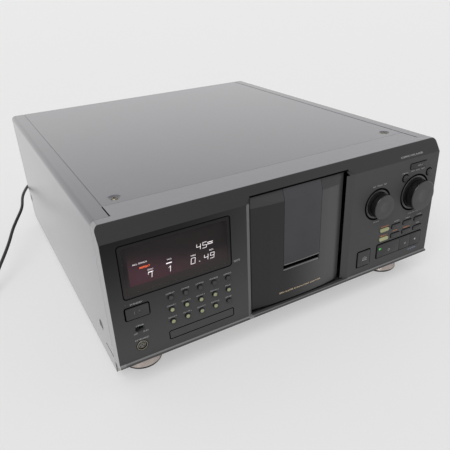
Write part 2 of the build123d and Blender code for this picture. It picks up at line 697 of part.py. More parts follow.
def chassis():
    """The bottom pan: its side flanges carry the cover and two ears carry the lever."""
    across = (-CHASSIS_HALF, CHASSIS_HALF)
    pan = block(across, (CHASSIS_FRONT, REAR_INNER), (FOOT_HEIGHT, FLOOR_TOP))
    walls = [
        block(across, (CHASSIS_FRONT, CHASSIS_FRONT + SHEET), (FOOT_HEIGHT, UNDERSIDE_REAR)),
        block(
            across, (REAR_INNER - SHEET, REAR_INNER), (FOOT_HEIGHT, FLOOR_TOP + REAR_FLANGE_HEIGHT)
        ),
    ]
    for side in (-1, 1):
        flange = block(
            sorted((side * (CHASSIS_HALF - SHEET), side * CHASSIS_HALF)),
            (CHASSIS_FRONT + 6, REAR_INNER - SHEET),
            (FOOT_HEIGHT, FLANGE_HEIGHT),
        )
        walls.append(flange)
        ear = block(
            sorted((side * EAR_HALF, side * (EAR_HALF + EAR_THICK))),
            span(LEVER_Y, 2 * LEVER_EYE),
            (FLOOR_TOP - SHEET / 2, LEVER_PIVOT_HEIGHT + LEVER_EYE),
        )
        walls.append(ear)
    reach = EAR_HALF + EAR_THICK
    walls.append(along_x(LEVER_Y, LEVER_PIVOT_HEIGHT, LEVER_PIN, -reach, reach))
    walls += [upright(x, y, STANDOFF_RADIUS, FLOOR_TOP - 0.5, FLOOR_TOP + STANDOFF) for x, y in standoffs()]
    holes = []
    for place, direction in screw_places():
        if direction[2] == 0:
            holes.append(along(place, direction, SCREW_DIMPLE + GAP, 1, -DIMPLE_DEPTH - 3 * SHEET))
    return (pan + walls) - holes


def standoffs():
    edge = 2 * STANDOFF_RADIUS
    return [
        (x, y)
        for x in (MAIN_BOARD_X[0] + edge, MAIN_BOARD_X[1] - edge)
        for y in (MAIN_BOARD_Y[0] + edge, MAIN_BOARD_Y[1] - edge)
    ]


def rear_panel():
    """The rear sheet, with holes for the sockets and the mains lead."""
    sheet = front_shape(cover_section(SHEET + GAP), REAR_INNER, REAR_FACE)
    sheet &= block(
        (-HALF, HALF), (REAR_INNER, REAR_FACE), (FLOOR_TOP + GAP, HEIGHT - 2 * SHEET - GAP)
    )
    holes = [along_y(x, JACK_Z, JACK_COLLAR + GAP, REAR_INNER - 1, DEPTH) for x in JACK_X]
    holes.append(
        along_y(CONTROL_JACK_X, JACK_Z, CONTROL_JACK_RADIUS + GAP, REAR_INNER - 1, DEPTH)
    )
    holes.append(along_y(*CORD_EXIT, RELIEF_RADIUS[0] + GAP, REAR_INNER - 1, DEPTH))
    for place, direction in screw_places():
        if direction[0]:
            holes.append(along(place, direction, SCREW_DIMPLE + GAP, 1, -3 * DIMPLE_DEPTH))
    return sheet - holes


def feet():
    """Round feet with a bevelled waist above a rubber pad."""
    half = [
        (0, 0),
        (FOOT_RADIUS - 1, 0),
        (FOOT_RADIUS, FOOT_PAD / 2),
        (FOOT_RADIUS, FOOT_PAD),
        (FOOT_NECK, FOOT_HEIGHT),
        (0, FOOT_HEIGHT),
    ]
    foot = revolve(Plane.XZ * Polygon(*half, align=None), Axis.Z)
    across, along = HALF - FOOT_INSET[0], FOOT_INSET[1]
    places = [(side * across, y) for side in (-1, 1) for y in (along, DEPTH - along)]
    return Compound(children=[Pos(x, y, 0) * foot for x, y in places])


# ---- Door ----
def door_region(shift, left, right):
    """Everything behind the door's bowed front, which is moved back by shift."""
    fold_y, edge_y = DOOR_FOLD_Y + shift, DOOR_EDGE_Y + shift
    middle = DOOR_MIDDLE
    bow = ThreePointArc(
        (middle - DOOR_FOLD, fold_y), (middle, DOOR_FACE + shift), (middle + DOOR_FOLD, fold_y)
    )
    rest = Polyline(
        (middle + DOOR_FOLD, fold_y),
        (middle + DOOR_HALF, edge_y),
        (middle + DOOR_HALF, DOOR_BACK),
        (middle - DOOR_HALF, DOOR_BACK),
        (middle - DOOR_HALF, edge_y),
        (middle - DOOR_FOLD, fold_y),
    )
    region = plan_shape(make_face([bow, *rest.edges()]), DOOR_BOTTOM, DOOR_TOP)
    front = DOOR_FACE + shift
    wedge = [
        (front - 20, FACET_BOTTOM),
        (front, FACET_BOTTOM),
        (front + (DOOR_TOP + 1 - FACET_BOTTOM) / FACET_SLOPE, DOOR_TOP + 1),
        (front - 20, DOOR_TOP + 1),
    ]
    region -= side_shape(wedge, middle - DOOR_HALF - 1, middle + DOOR_HALF + 1)
    keep = block((left, right), (DOOR_FACE - 20, DOOR_BACK + 1), (0, HEIGHT))
    return region & keep


def front_door():
    left, right = DOOR_MIDDLE - DOOR_HALF, DOOR_MIDDLE + DOOR_HALF
    door = door_region(0, left, right)
    door = fillet(door.edges().filter_by(Axis.Z).filter_by_position(Axis.Y, 0, DOOR_BACK - 2)
                  .filter_by(lambda e: abs(e.center().X - DOOR_MIDDLE) > DOOR_HALF - 1), 1.5)
    room = door_region(DOOR_WALL, left + DOOR_WALL, right - DOOR_WALL)
    room &= block((left, right), (0, DOOR_BACK + 1), (DOOR_BOTTOM + DOOR_WALL, DOOR_TOP - DOOR_WALL))
    scoop_low = WINDOW_BOTTOM - SCOOP_HEIGHT
    backing_back = DOOR_FACE + SCOOP_DEPTH + SCOOP_BACKING
    room -= block(
        (WINDOW_LEFT - DOOR_WALL, WINDOW_RIGHT + DOOR_WALL),
        (0, backing_back),
        (scoop_low - DOOR_WALL, WINDOW_BOTTOM + DOOR_WALL),
    )
    door -= room
    sunk = door_region(-1, WINDOW_LEFT, WINDOW_RIGHT) - door_region(WINDOW_SINK, left, right)
    door -= sunk & block((left, right), (-20, DOOR_BACK), (WINDOW_BOTTOM, HEIGHT))
    scoop = [
        (DOOR_FACE - 5, scoop_low),
        (DOOR_FACE, scoop_low),
        (DOOR_FACE + SCOOP_DEPTH, scoop_low + SCOOP_HEIGHT * 0.7),
        (DOOR_FACE + SCOOP_DEPTH, WINDOW_BOTTOM + 0.01),
        (DOOR_FACE - 5, WINDOW_BOTTOM + 0.01),
    ]
    door -= side_shape(scoop, WINDOW_LEFT, WINDOW_RIGHT)
    facet_back = DOOR_FACE + (ARM_BOTTOM + ARM_THICK - FACET_BOTTOM) / FACET_SLOPE
    arm = block(
        span(0, ARM_WIDTH),
        (facet_back + WINDOW_SINK + 0.1, AXIS_Y),
        (ARM_BOTTOM, ARM_BOTTOM + ARM_THICK),
    )
    eye = upright(0, AXIS_Y, ARM_WIDTH / 2, ARM_BOTTOM, ARM_BOTTOM + ARM_THICK)
    bore = upright(0, AXIS_Y, PIVOT_RADIUS + RUNNING, ARM_BOTTOM - 1, ARM_BOTTOM + ARM_THICK + 1)
    return (door + arm + eye) - bore


def door_window():
    """The smoked pane that follows the door's front, its lower edge over the scoop."""
    left, right = WINDOW_LEFT + WINDOW_SEAM, WINDOW_RIGHT - WINDOW_SEAM
    pane = door_region(0, left, right) - door_region(WINDOW_SINK - 0.05, left - 1, right + 1)
    return pane & block((left, right), (-20, DOOR_BACK), (WINDOW_BOTTOM, HEIGHT))


# ---- Carousel and its drive ----
def gear_points(centre, teeth, first_tooth):
    """A spur gear with straight flanks and free play between the teeth."""
    pitch_radius = GEAR_MODULE * teeth / 2
    root, tip = pitch_radius - 1.25 * GEAR_MODULE, pitch_radius + 0.75 * GEAR_MODULE
    points = []
    for tooth in range(teeth):
        middle = first_tooth + 2 * pi * tooth / teeth
        for radius, width in ((root, 1.0), (tip, 0.42), (tip, -0.42), (root, -1.0)):
            angle = middle - width * GEAR_MODULE / radius
            points.append((centre[0] + radius * cos(angle), centre[1] + radius * sin(angle)))
    return points


def carousel():
    floor = Circle(CAROUSEL_RADIUS) - Circle(CAROUSEL_BORE)
    centre = (0, AXIS_Y)
    table = plan_shape(at(centre, floor), CAROUSEL_FLOOR, CAROUSEL_TOP)
    teeth = gear_points((0, 0), TABLE_TEETH, radians(MOTOR_BEARING))
    gear = Polygon(*teeth, align=None) - Circle(CAROUSEL_BORE)
    table += plan_shape(at(centre, gear), GEAR_LOW, CAROUSEL_FLOOR)
    gear_root = GEAR_MODULE * (TABLE_TEETH / 2 - 1.25)
    collar = Circle(gear_root) - Circle(CAROUSEL_BORE)
    table += plan_shape(at(centre, collar), COLLAR_BOTTOM, GEAR_LOW)
    inner = Circle(CAROUSEL_BORE + FIN_WALL) - Circle(CAROUSEL_BORE)
    table += plan_shape(at(centre, inner), CAROUSEL_TOP, CAROUSEL_TOP + INNER_WALL_HEIGHT)
    slot_floor = CAROUSEL_RADIUS - FIN_DEPTH
    points = []
    for slot in range(SLOTS):
        middle = 2 * pi * slot / SLOTS
        for radius, side in ((CAROUSEL_RADIUS, -1), (slot_floor, -1), (slot_floor, 1), (CAROUSEL_RADIUS, 1)):
            angle = middle + side * SLOT_WIDTH / 2 / radius
            points.append((radius * cos(angle), radius * sin(angle)))
    fins = Polygon(*points, align=None) - Circle(slot_floor - FIN_WALL)
    return table + plan_shape(at(centre, fins), CAROUSEL_TOP, CAROUSEL_TOP + FIN_HEIGHT)


def table_drive_gear():
    first = radians(MOTOR_BEARING) + pi + pi / PINION_TEETH
    gear = Polygon(*gear_points(PINION_AT, PINION_TEETH, first), align=None)
    solid = plan_shape(gear, GEAR_LOW, GEAR_LOW + GEAR_WIDTH)
    top = GEAR_LOW + GEAR_WIDTH + 1
    return solid - upright(*PINION_AT, MOTOR_SHAFT + RUNNING, GEAR_LOW - 1, top)


def table_motor():
    body = upright(*PINION_AT, MOTOR_RADIUS, FLOOR_TOP, FLOOR_TOP + MOTOR_HEIGHT)
    shaft = upright(*PINION_AT, MOTOR_SHAFT, FLOOR_TOP + MOTOR_HEIGHT, GEAR_LOW + GEAR_WIDTH)
    boss = upright(*PINION_AT, 2.5 * MOTOR_SHAFT, FLOOR_TOP + MOTOR_HEIGHT, GEAR_LOW - GAP)
    return body + boss + shaft


# ---- Player ----
def player_base():
    """The fixed hub that the carousel turns on, with the upright frame of the player."""
    centre = (0, AXIS_Y)
    hub = CAROUSEL_BORE - RUNNING
    rings = [
        plan_shape(at(centre, Circle(BASE_FLANGE) - Circle(hub - BASE_WALL)), FLOOR_TOP, COLLAR_BOTTOM - GAP),
        plan_shape(at(centre, Circle(hub) - Circle(hub - BASE_WALL)), FLOOR_TOP, CAROUSEL_TOP),
        upright(0, AXIS_Y, hub, CAROUSEL_TOP - DECK_SHEET, CAROUSEL_TOP),
    ]
    outer = SLED_OUTER + SLED_TRAVEL + GAP
    bracket = 2.5
    frame = block(
        (FRAME_BACK, FRAME_FACE),
        (AXIS_Y - outer - bracket, AXIS_Y + FRAME_HALF),
        (CAROUSEL_TOP, FRAME_TOP),
    )
    bridge = block((FRAME_BACK, PIVOT_BOSS), span(AXIS_Y, 30), (BRIDGE_LOW, FRAME_TOP))
    boss = upright(0, AXIS_Y, PIVOT_BOSS, FRAME_TOP, ARM_BOTTOM - GAP)
    pin = upright(0, AXIS_Y, PIVOT_RADIUS, FRAME_TOP, ARM_BOTTOM + ARM_THICK + 2)
    clamp = block(
        (CLAMP_FACE + DISC_HOLE_RADIUS, CLAMP_FACE + DISC_HOLE_RADIUS + CLAMP_THICK),
        span(AXIS_Y, 2 * CLAMP_HALF),
        (CAROUSEL_TOP, PLAY_HEIGHT + CLAMP_HALF),
    )
    puck = along_x(AXIS_Y, PLAY_HEIGHT, TURNTABLE_RADIUS, CLAMP_FACE, CLAMP_FACE + DISC_HOLE_RADIUS)
    motor = along_x(
        AXIS_Y, PLAY_HEIGHT, SPINDLE_MOTOR_RADIUS, FRAME_BACK - SPINDLE_MOTOR_LENGTH, FRAME_BACK
    )
    solids = rings + [frame, bridge, boss, pin, clamp, puck, motor]
    sled_x = sled_middle()
    for side in (-1, 1):
        z = PLAY_HEIGHT + side * RAIL_SPREAD
        solids.append(
            Pos(sled_x, AXIS_Y - (outer + SLED_INNER - GAP) / 2, z)
            * Rot(90, 0, 0)
            * Cylinder(RAIL_RADIUS, outer - SLED_INNER + GAP)
        )
        for y in (AXIS_Y - outer - bracket / 2, AXIS_Y - SLED_INNER + GAP + bracket / 2):
            solids.append(
                block((FRAME_FACE, sled_x + 2 * RAIL_RADIUS), span(y, bracket), span(z, 4 * RAIL_RADIUS))
            )
    base = solids[0] + solids[1:]
    hole = along_x(
        AXIS_Y, PLAY_HEIGHT, SPINDLE_RADIUS + RUNNING, FRAME_BACK - 6, FRAME_FACE + 1
    )
    return base - hole


def sled_middle():
    return FRAME_FACE + GAP + SLED_THICK / 2


def laser_sled():
    """The pickup sled on its two rails, with the lens looking at the disc."""
    x = sled_middle()
    half_height = RAIL_SPREAD + SLED_MARGIN
    y = (AXIS_Y - SLED_OUTER, AXIS_Y - SLED_INNER)
    sled = block(span(x, SLED_THICK), y, span(PLAY_HEIGHT, 2 * half_height))
    lens_y = AXIS_Y - SLED_INNER - 2 * LENS_RADIUS
    sled += along_x(lens_y, PLAY_HEIGHT, LENS_RADIUS, x, x + SLED_THICK / 2 + 1)
    bores = [
        Pos(x, (y[0] + y[1]) / 2, PLAY_HEIGHT + side * RAIL_SPREAD)
        * Rot(90, 0, 0)
        * Cylinder(RAIL_RADIUS + RUNNING, SLED_LENGTH + 2)
        for side in (-1, 1)
    ]
    return sled - bores


def disc_turntable():
    face = FRAME_FACE + GAP
    plate_end = face + TURNTABLE_THICK
    plate = along_x(AXIS_Y, PLAY_HEIGHT, TURNTABLE_RADIUS, face, plate_end)
    hub = along_x(AXIS_Y, PLAY_HEIGHT, TURNTABLE_RADIUS / 2, face, DISC_FACE)
    cone = Pos(DISC_FACE + CENTRING_CONE / 2, AXIS_Y, PLAY_HEIGHT) * Rot(0, 90, 0) * Cone(
        DISC_HOLE_RADIUS - 0.1, DISC_HOLE_RADIUS / 2, CENTRING_CONE
    )
    shaft = along_x(AXIS_Y, PLAY_HEIGHT, SPINDLE_RADIUS, FRAME_BACK - 5, face)
    return plate + hub + cone + shaft


def loading_lever():
    """The lever that pushes a disc out of its slot towards the player."""
    low = LEVER_PIVOT_HEIGHT
    half = LEVER_EYE * 0.6
    arm = [
        (LEVER_Y - half, low),
        (LEVER_Y + half, low),
        (LEVER_Y + half * 0.6, low + LEVER_LENGTH),
        (LEVER_Y - half * 0.6, low + LEVER_LENGTH),
    ]
    lever = side_shape(arm, -LEVER_THICK / 2, LEVER_THICK / 2)
    lever += along_x(LEVER_Y, low, LEVER_EYE, -EAR_HALF + GAP, EAR_HALF - GAP)
    lever += along_x(LEVER_Y, low + LEVER_LENGTH, half, -LEVER_THICK, LEVER_THICK)
    return lever - along_x(LEVER_Y, low, LEVER_PIN + RUNNING, -EAR_HALF, EAR_HALF)


# ---- Electrics ----
def circuit_boards():
    """Two boards behind the panel, with their switches, and the main board."""
    back = BOARD_FACE + BOARD_THICK
    boards = []
    for edges in (LEFT_BOARD, RIGHT_BOARD):
        board = block(edges, (BOARD_FACE, back), (BOARD_LOW, BOARD_HIGH))
        parts = []
        places = [place for _, place, _, _, _ in key_table()]
        places += [place for _, place, _ in transport_keys()] + [TIMER]
        for x, z in places:
            if edges[0] < x < edges[1]:
                front = BOARD_FACE - SWITCH_HEIGHT
                parts.append(block(span(x, SWITCH_SIZE), (front, BOARD_FACE), span(z, SWITCH_SIZE)))
        if edges == LEFT_BOARD:
            beside, above = TUBE_MARGIN
            tube_x = (DISPLAY_X[0] + beside, DISPLAY_X[1] - beside)
            tube_z = (DISPLAY_Z[0] + above, DISPLAY_Z[1] - above)
            parts.append(block(tube_x, (BOARD_FACE - TUBE_DEPTH, BOARD_FACE), tube_z))
            board += parts
        else:
            for x, z in DIALS:
                parts.append(
                    block(
                        span(x, ENCODER_SIZE),
                        (BOARD_FACE - ENCODER_DEPTH, BOARD_FACE),
                        span(z, ENCODER_SIZE),
                    )
                )
            board += parts
            board -= [
                along_y(x, z, SHAFT_RADIUS + RUNNING, 0, BOARD_FACE - GAP) for x, z in DIALS
            ]
        boards.append(board)
    low = FLOOR_TOP + STANDOFF
    main = block(MAIN_BOARD_X, MAIN_BOARD_Y, (low, low + BOARD_THICK))
    top = low + BOARD_THICK
    chip_y = span(MAIN_BOARD_Y[0] + 0.4 * MAIN_BOARD_SIZE[1], CHIP_SIZE[0])
    chips = [
        block(span(MAIN_BOARD_X[0] + share * MAIN_BOARD_SIZE[0], CHIP_SIZE[0]), chip_y, (top, top + CHIP_SIZE[1]))
        for share in (0.35, 0.65)
    ]
    can_y = MAIN_BOARD_Y[1] - 4 * CAN_SIZE[0]
    cans = [
        upright(MAIN_BOARD_X[0] + (2 + step) * 3 * CAN_SIZE[0], can_y, CAN_SIZE[0], top, top + CAN_SIZE[1])
        for step in range(4)
    ]
    boards.append(main + chips + cans)
    return Compound(children=boards)


def power_transformer():
    """Laminated core with its winding, bolted down by two feet."""
    wide, deep, tall = TRANSFORMER_SIZE
    high = FLOOR_TOP + tall
    middle_x = -HALF + TRANSFORMER_INSET[0] + wide / 2
    middle_y = DEPTH - TRANSFORMER_INSET[1] - deep / 2
    core = block(span(middle_x, wide), span(middle_y, deep - 2 * COIL_MARGIN), (FLOOR_TOP, high))
    around = (span(middle_x, wide - 2 * COIL_MARGIN), span(middle_y, deep))
    winding = block(*around, (FLOOR_TOP + COIL_MARGIN, high - COIL_MARGIN))
    foot = block(*around, (FLOOR_TOP, FLOOR_TOP + TRANSFORMER_FOOT))
    return core + winding + foot


def keyboard_socket():
    """Round socket flush with the panel, on a block that reaches the board."""
    barrel = along_y(*SOCKET, SOCKET_RADIUS, -GAP, WALL + 1)
    x, z = SOCKET
    body = block(span(x, 2 * SOCKET_BLOCK), (WALL + GAP, BOARD_FACE), span(z, 2 * SOCKET_BLOCK))
    return barrel + body - along_y(*SOCKET, SOCKET_BORE[0], -1, SOCKET_BORE[1] - GAP)


def rear_jacks():
    """Two line sockets and a control socket on one moulded block."""
    left, right = JACK_X[0] - JACK_BLOCK_MARGIN, CONTROL_JACK_X + JACK_BLOCK_MARGIN
    front = REAR_INNER - JACK_BLOCK_DEPTH
    jacks = block((left, right), (front, REAR_INNER), span(JACK_Z, 2 * JACK_BLOCK_MARGIN))
    for x in JACK_X:
        jacks += along_y(x, JACK_Z, JACK_COLLAR, REAR_INNER - 1, REAR_FACE + GAP)
        jacks += along_y(x, JACK_Z, JACK_RADIUS, REAR_FACE, REAR_REACH)
    control_end = REAR_FACE + CONTROL_JACK_LENGTH
    jacks += along_y(CONTROL_JACK_X, JACK_Z, CONTROL_JACK_RADIUS, REAR_INNER - 1, control_end)
    bores = [along_y(x, JACK_Z, JACK_BORE[0], REAR_REACH - JACK_BORE[1], REAR_REACH + 1) for x in JACK_X]
    bores.append(
        along_y(
            CONTROL_JACK_X,
            JACK_Z,
            CONTROL_JACK_BORE[0],
            control_end - CONTROL_JACK_BORE[1],
            control_end + 1,
        )
    )
    return jacks - bores


# ---- Keys and dials ----
def timer_switch():
    """Slide switch at the left end of its travel."""
    x = TIMER[0] - TIMER_TRAVEL / 2
    z = TIMER[1]
    end = BOARD_FACE - SWITCH_HEIGHT - GAP
    return block(span(x, TIMER_KNOB[0]), (GAP, end), span(z, TIMER_KNOB[1]))


def dial_and_shaft(number):
    """A dial and the push shaft it turns on."""
    place, radius, proud = DIALS[number], DIAL_RADIUS[number], DIAL_PROUD[number]
    dial = along_y(*place, radius, -proud, -DIAL_BASE_GAP)
    dial = chamfer(dial.edges().group_by(Axis.Y)[0], DIAL_EDGE)
    dish_radius, dish_depth = radius * DIAL_DISH[0], DIAL_DISH[1]
    ball = (dish_radius**2 + dish_depth**2) / (2 * dish_depth)
    dial -= Pos(place[0], -proud + dish_depth - ball, place[1]) * Sphere(ball)
    shaft_end = -proud + SHAFT_SEAT
    bore = along_y(*place, SHAFT_RADIUS + RUNNING, shaft_end - GAP, 0)
    shaft = along_y(*place, SHAFT_RADIUS, shaft_end, BOARD_FACE - 2 * GAP - KEY_TRAVEL)
    return dial - bore, shaft


# ---- Mains lead ----
def route_points():
    start = (CORD_EXIT[0], REAR_FACE + RELIEF_LENGTH, CORD_EXIT[1])
    return [start] + ROUTE


def bend_radii(points):
    """Each corner's arc is as large as its two runs allow."""
    radii = []
    for before, corner, after in zip(points, points[1:], points[2:]):
        run_in = Vector(*corner) - Vector(*before)
        run_out = Vector(*after) - Vector(*corner)
        turn = run_in.get_angle(run_out)
        shorter = min(run_in.length, run_out.length)
        radii.append(0.45 * shorter / tan(radians(turn) / 2))
    return radii


def power_cord():
    points = route_points()
    path = FilletPolyline(*points, radius=bend_radii(points))
    section = Plane(origin=path @ 0, z_dir=path % 0) * Circle(CORD_DIAMETER / 2)
    return sweep(section, path=path)


def coil_place():
    """Middle of the coil: the lead runs into its outer turn as a tangent."""
    end, before = Vector(*ROUTE[-1]), Vector(*ROUTE[-2])
    ahead = (end - before).normalized()
    left = Vector(-ahead.Y, ahead.X, 0).normalized()
    outer_turn = COIL_MEAN_RADIUS + CORD_DIAMETER * (COIL_ROWS - 1) / 2
    return end - left * outer_turn, outer_turn, ahead, left


def cord_coil():
    middle, _, _, _ = coil_place()
    half = CORD_DIAMETER * COIL_ROWS / 2
    ring = Circle(COIL_MEAN_RADIUS + half) - Circle(COIL_MEAN_RADIUS - half)
    return plan_shape(at((middle.X, middle.Y), ring), 0, CORD_DIAMETER * COIL_LAYERS)


def plug_frame():
    """Where the lead leaves the coil as a tangent, opposite the place where it comes in."""
    middle, outer_turn, ahead, left = coil_place()
    side = middle - left * outer_turn
    return Plane(origin=(side.X, side.Y, 0), x_dir=-ahead, z_dir=(0, 0, 1))


def power_plug():
    """A flat plug with two blades, lying flat; its tail takes the lead out of the coil."""
    length, width, height = PLUG_BODY
    rim = COIL_MEAN_RADIUS + CORD_DIAMETER * COIL_ROWS / 2
    _, outer_turn, _, _ = coil_place()
    start = sqrt(rim**2 - outer_turn**2) + PLUG_START
    tail = block(
        (start, start + PLUG_TAIL), span(0, PLUG_TAIL_SIDE), span(height / 2, PLUG_TAIL_SIDE)
    )
    body_start = start + PLUG_TAIL
    body = block((body_start, body_start + length), span(0, width), (0, height))
    body = fillet(body.edges().filter_by(Axis.X), PLUG_CORNER)
    blade_start = body_start + length - 1
    blades = [
        block(
            (blade_start, blade_start + PLUG_PINS[0] + 1),
            span(side * PLUG_PIN_SPREAD / 2, PLUG_PINS[2]),
            span(height / 2, PLUG_PINS[1]),
        )
        for side in (-1, 1)
    ]
    return plug_frame() * (body + [tail, *blades])


def cord_strain_relief():
    """Tapered sleeve through the rear panel, with a collar on each side of the sheet."""
    x, z = CORD_EXIT
    sleeve = Pos(x, REAR_FACE + RELIEF_LENGTH / 2, z) * Rot(-90, 0, 0) * Cone(
        RELIEF_RADIUS[0], RELIEF_RADIUS[1], RELIEF_LENGTH
    )
    root = along_y(x, z, RELIEF_RADIUS[0], REAR_INNER - RELIEF_COLLAR[1], REAR_FACE)
    collars = [
        along_y(x, z, RELIEF_COLLAR[0], REAR_FACE, REAR_FACE + RELIEF_COLLAR[1]),
        along_y(x, z, RELIEF_COLLAR[0], REAR_INNER - RELIEF_COLLAR[1], REAR_INNER),
    ]
    return sleeve + root + collars


def main():
    os.makedirs("parts", exist_ok=True)
    save("front_panel", front_panel())
    save("display_window", display_window())
    save("top_cover", top_cover())
    save("cover_screws", cover_screws())
    save("chassis", chassis())
    save("rear_panel", rear_panel())
    save("feet", feet())
    save("front_door", front_door())
    save("door_window", door_window())
    save("carousel", carousel())
    save("table_drive_gear", table_drive_gear())
    save("table_motor", table_motor())
    save("player_base", player_base())
    save("laser_sled", laser_sled())
    save("disc_turntable", disc_turntable())
    save("loading_lever", loading_lever())
    save("circuit_boards", circuit_boards())
    save("power_transformer", power_transformer())
    save("keyboard_socket", keyboard_socket())
    save("rear_jacks", rear_jacks())
    save("timer_switch", timer_switch())
    for number, name in enumerate(("small_dial", "large_dial")):
        dial, shaft = dial_and_shaft(number)
        save(name, dial)
        save(f"{name}_shaft", shaft)
    for node, place, size, corner, proud in key_table():
        flange = at((0, 0), outline(size, corner, KEY_FLANGE))
        save(node, key_cap(place, size, corner, proud, flange))
    for node, place, size in transport_keys():
        flange = Rectangle(size[0], size[1] + 2 * KEY_FLANGE)
        save(node, key_cap(place, size, 0.5, KEY_PROUD, flange))
    save("power_cord", power_cord())
    save("cord_coil", cord_coil())
    save("power_plug", power_plug())
    save("cord_strain_relief", cord_strain_relief())


main()
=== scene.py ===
import json
from math import cos, pi, radians, sin

import bmesh
import bpy
from mathutils import Matrix, Vector


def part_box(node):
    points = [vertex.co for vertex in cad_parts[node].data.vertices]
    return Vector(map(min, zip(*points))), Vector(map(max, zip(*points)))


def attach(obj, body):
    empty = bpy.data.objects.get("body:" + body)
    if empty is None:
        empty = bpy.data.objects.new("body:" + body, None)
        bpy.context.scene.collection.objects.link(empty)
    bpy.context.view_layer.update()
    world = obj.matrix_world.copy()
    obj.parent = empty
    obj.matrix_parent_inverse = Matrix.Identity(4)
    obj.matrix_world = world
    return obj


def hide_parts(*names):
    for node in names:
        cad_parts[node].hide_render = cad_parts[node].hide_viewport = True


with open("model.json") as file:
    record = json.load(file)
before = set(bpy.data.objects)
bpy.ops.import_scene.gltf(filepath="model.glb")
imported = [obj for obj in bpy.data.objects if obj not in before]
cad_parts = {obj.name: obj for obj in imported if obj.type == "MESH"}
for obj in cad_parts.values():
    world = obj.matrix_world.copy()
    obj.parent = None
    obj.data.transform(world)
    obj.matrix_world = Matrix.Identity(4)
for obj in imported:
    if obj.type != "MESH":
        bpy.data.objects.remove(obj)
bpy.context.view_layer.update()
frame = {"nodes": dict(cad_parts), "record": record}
scene = bpy.context.scene
nodes = frame["nodes"]
body_of_node = {}
for body, group in frame["record"]["behaviour"]["bodies"].items():
    for node in group:
        body_of_node[node] = body

# Places are written in millimetres on the front: x from the middle, y back from the flat of
# the front panel, z up from the table. The shared frame's own middle lies this far back.
MIDDLE = 230.1

# Outer places of the casing.
HALF_WIDTH = 215
HEIGHT = 189
REAR = 466

# The panel's upper band leans back from its foot.
BAND_FOOT = 173.2
BAND_HEIGHT = 15.8
BAND_LEAN = 10.0

# The door's front is bowed: its foremost line, that line's depth, and the bow's radius.
DOOR_X = 4.5
DOOR_FACE = 1.0
DOOR_BOW = 650.0

# Prints stand this far before the face that carries them.
PRINT = 0.05

# Depth of the joint lines on the panel, just before its flat.
JOINT_Y = -0.03

# Depths of the keys' faces, of the marks on them, and of the play lamp.
KEY_FACE = -1.2
MARK_Y = -1.26
LAMP_Y = -1.27

# Each dial: its middle on the front, its radius, how far it stands out, and the ring round it.
DIALS = {
    "small_dial": {"x": 118.5, "z": 126.2, "radius": 15.4, "proud": 11.6, "ring": (18.2, 15.9)},
    "large_dial": {"x": 179.6, "z": 126.7, "radius": 18.9, "proud": 13.8, "ring": (21.8, 19.4)},
}


def at(x, y, z):
    """A place on the machine, in the shared frame's metres."""
    return Vector((x, y - MIDDLE, z)) / 1000


# ---- Shader arithmetic ----
# Sockets of a colour Mix node: its two colours, and its result.
MIX_FIRST = 6
MIX_SECOND = 7
MIX_RESULT = 2


class Level:
    """A number or colour in a finish, used in plain arithmetic."""

    def __init__(self, finish, socket):
        self.finish = finish
        self.socket = socket

    def math(self, operation, *values):
        return self.finish.node("ShaderNodeMath", {"operation": operation}, enumerate(values))

    def __add__(self, other):
        return self.math("ADD", self, other)

    def __sub__(self, other):
        return self.math("SUBTRACT", self, other)

    def __rsub__(self, other):
        return self.math("SUBTRACT", other, self)

    def __mul__(self, other):
        return self.math("MULTIPLY", self, other)

    def __pow__(self, other):
        return self.math("POWER", self, other)

    def __lt__(self, other):
        return self.math("LESS_THAN", self, other)

    __radd__ = __add__
    __rmul__ = __mul__


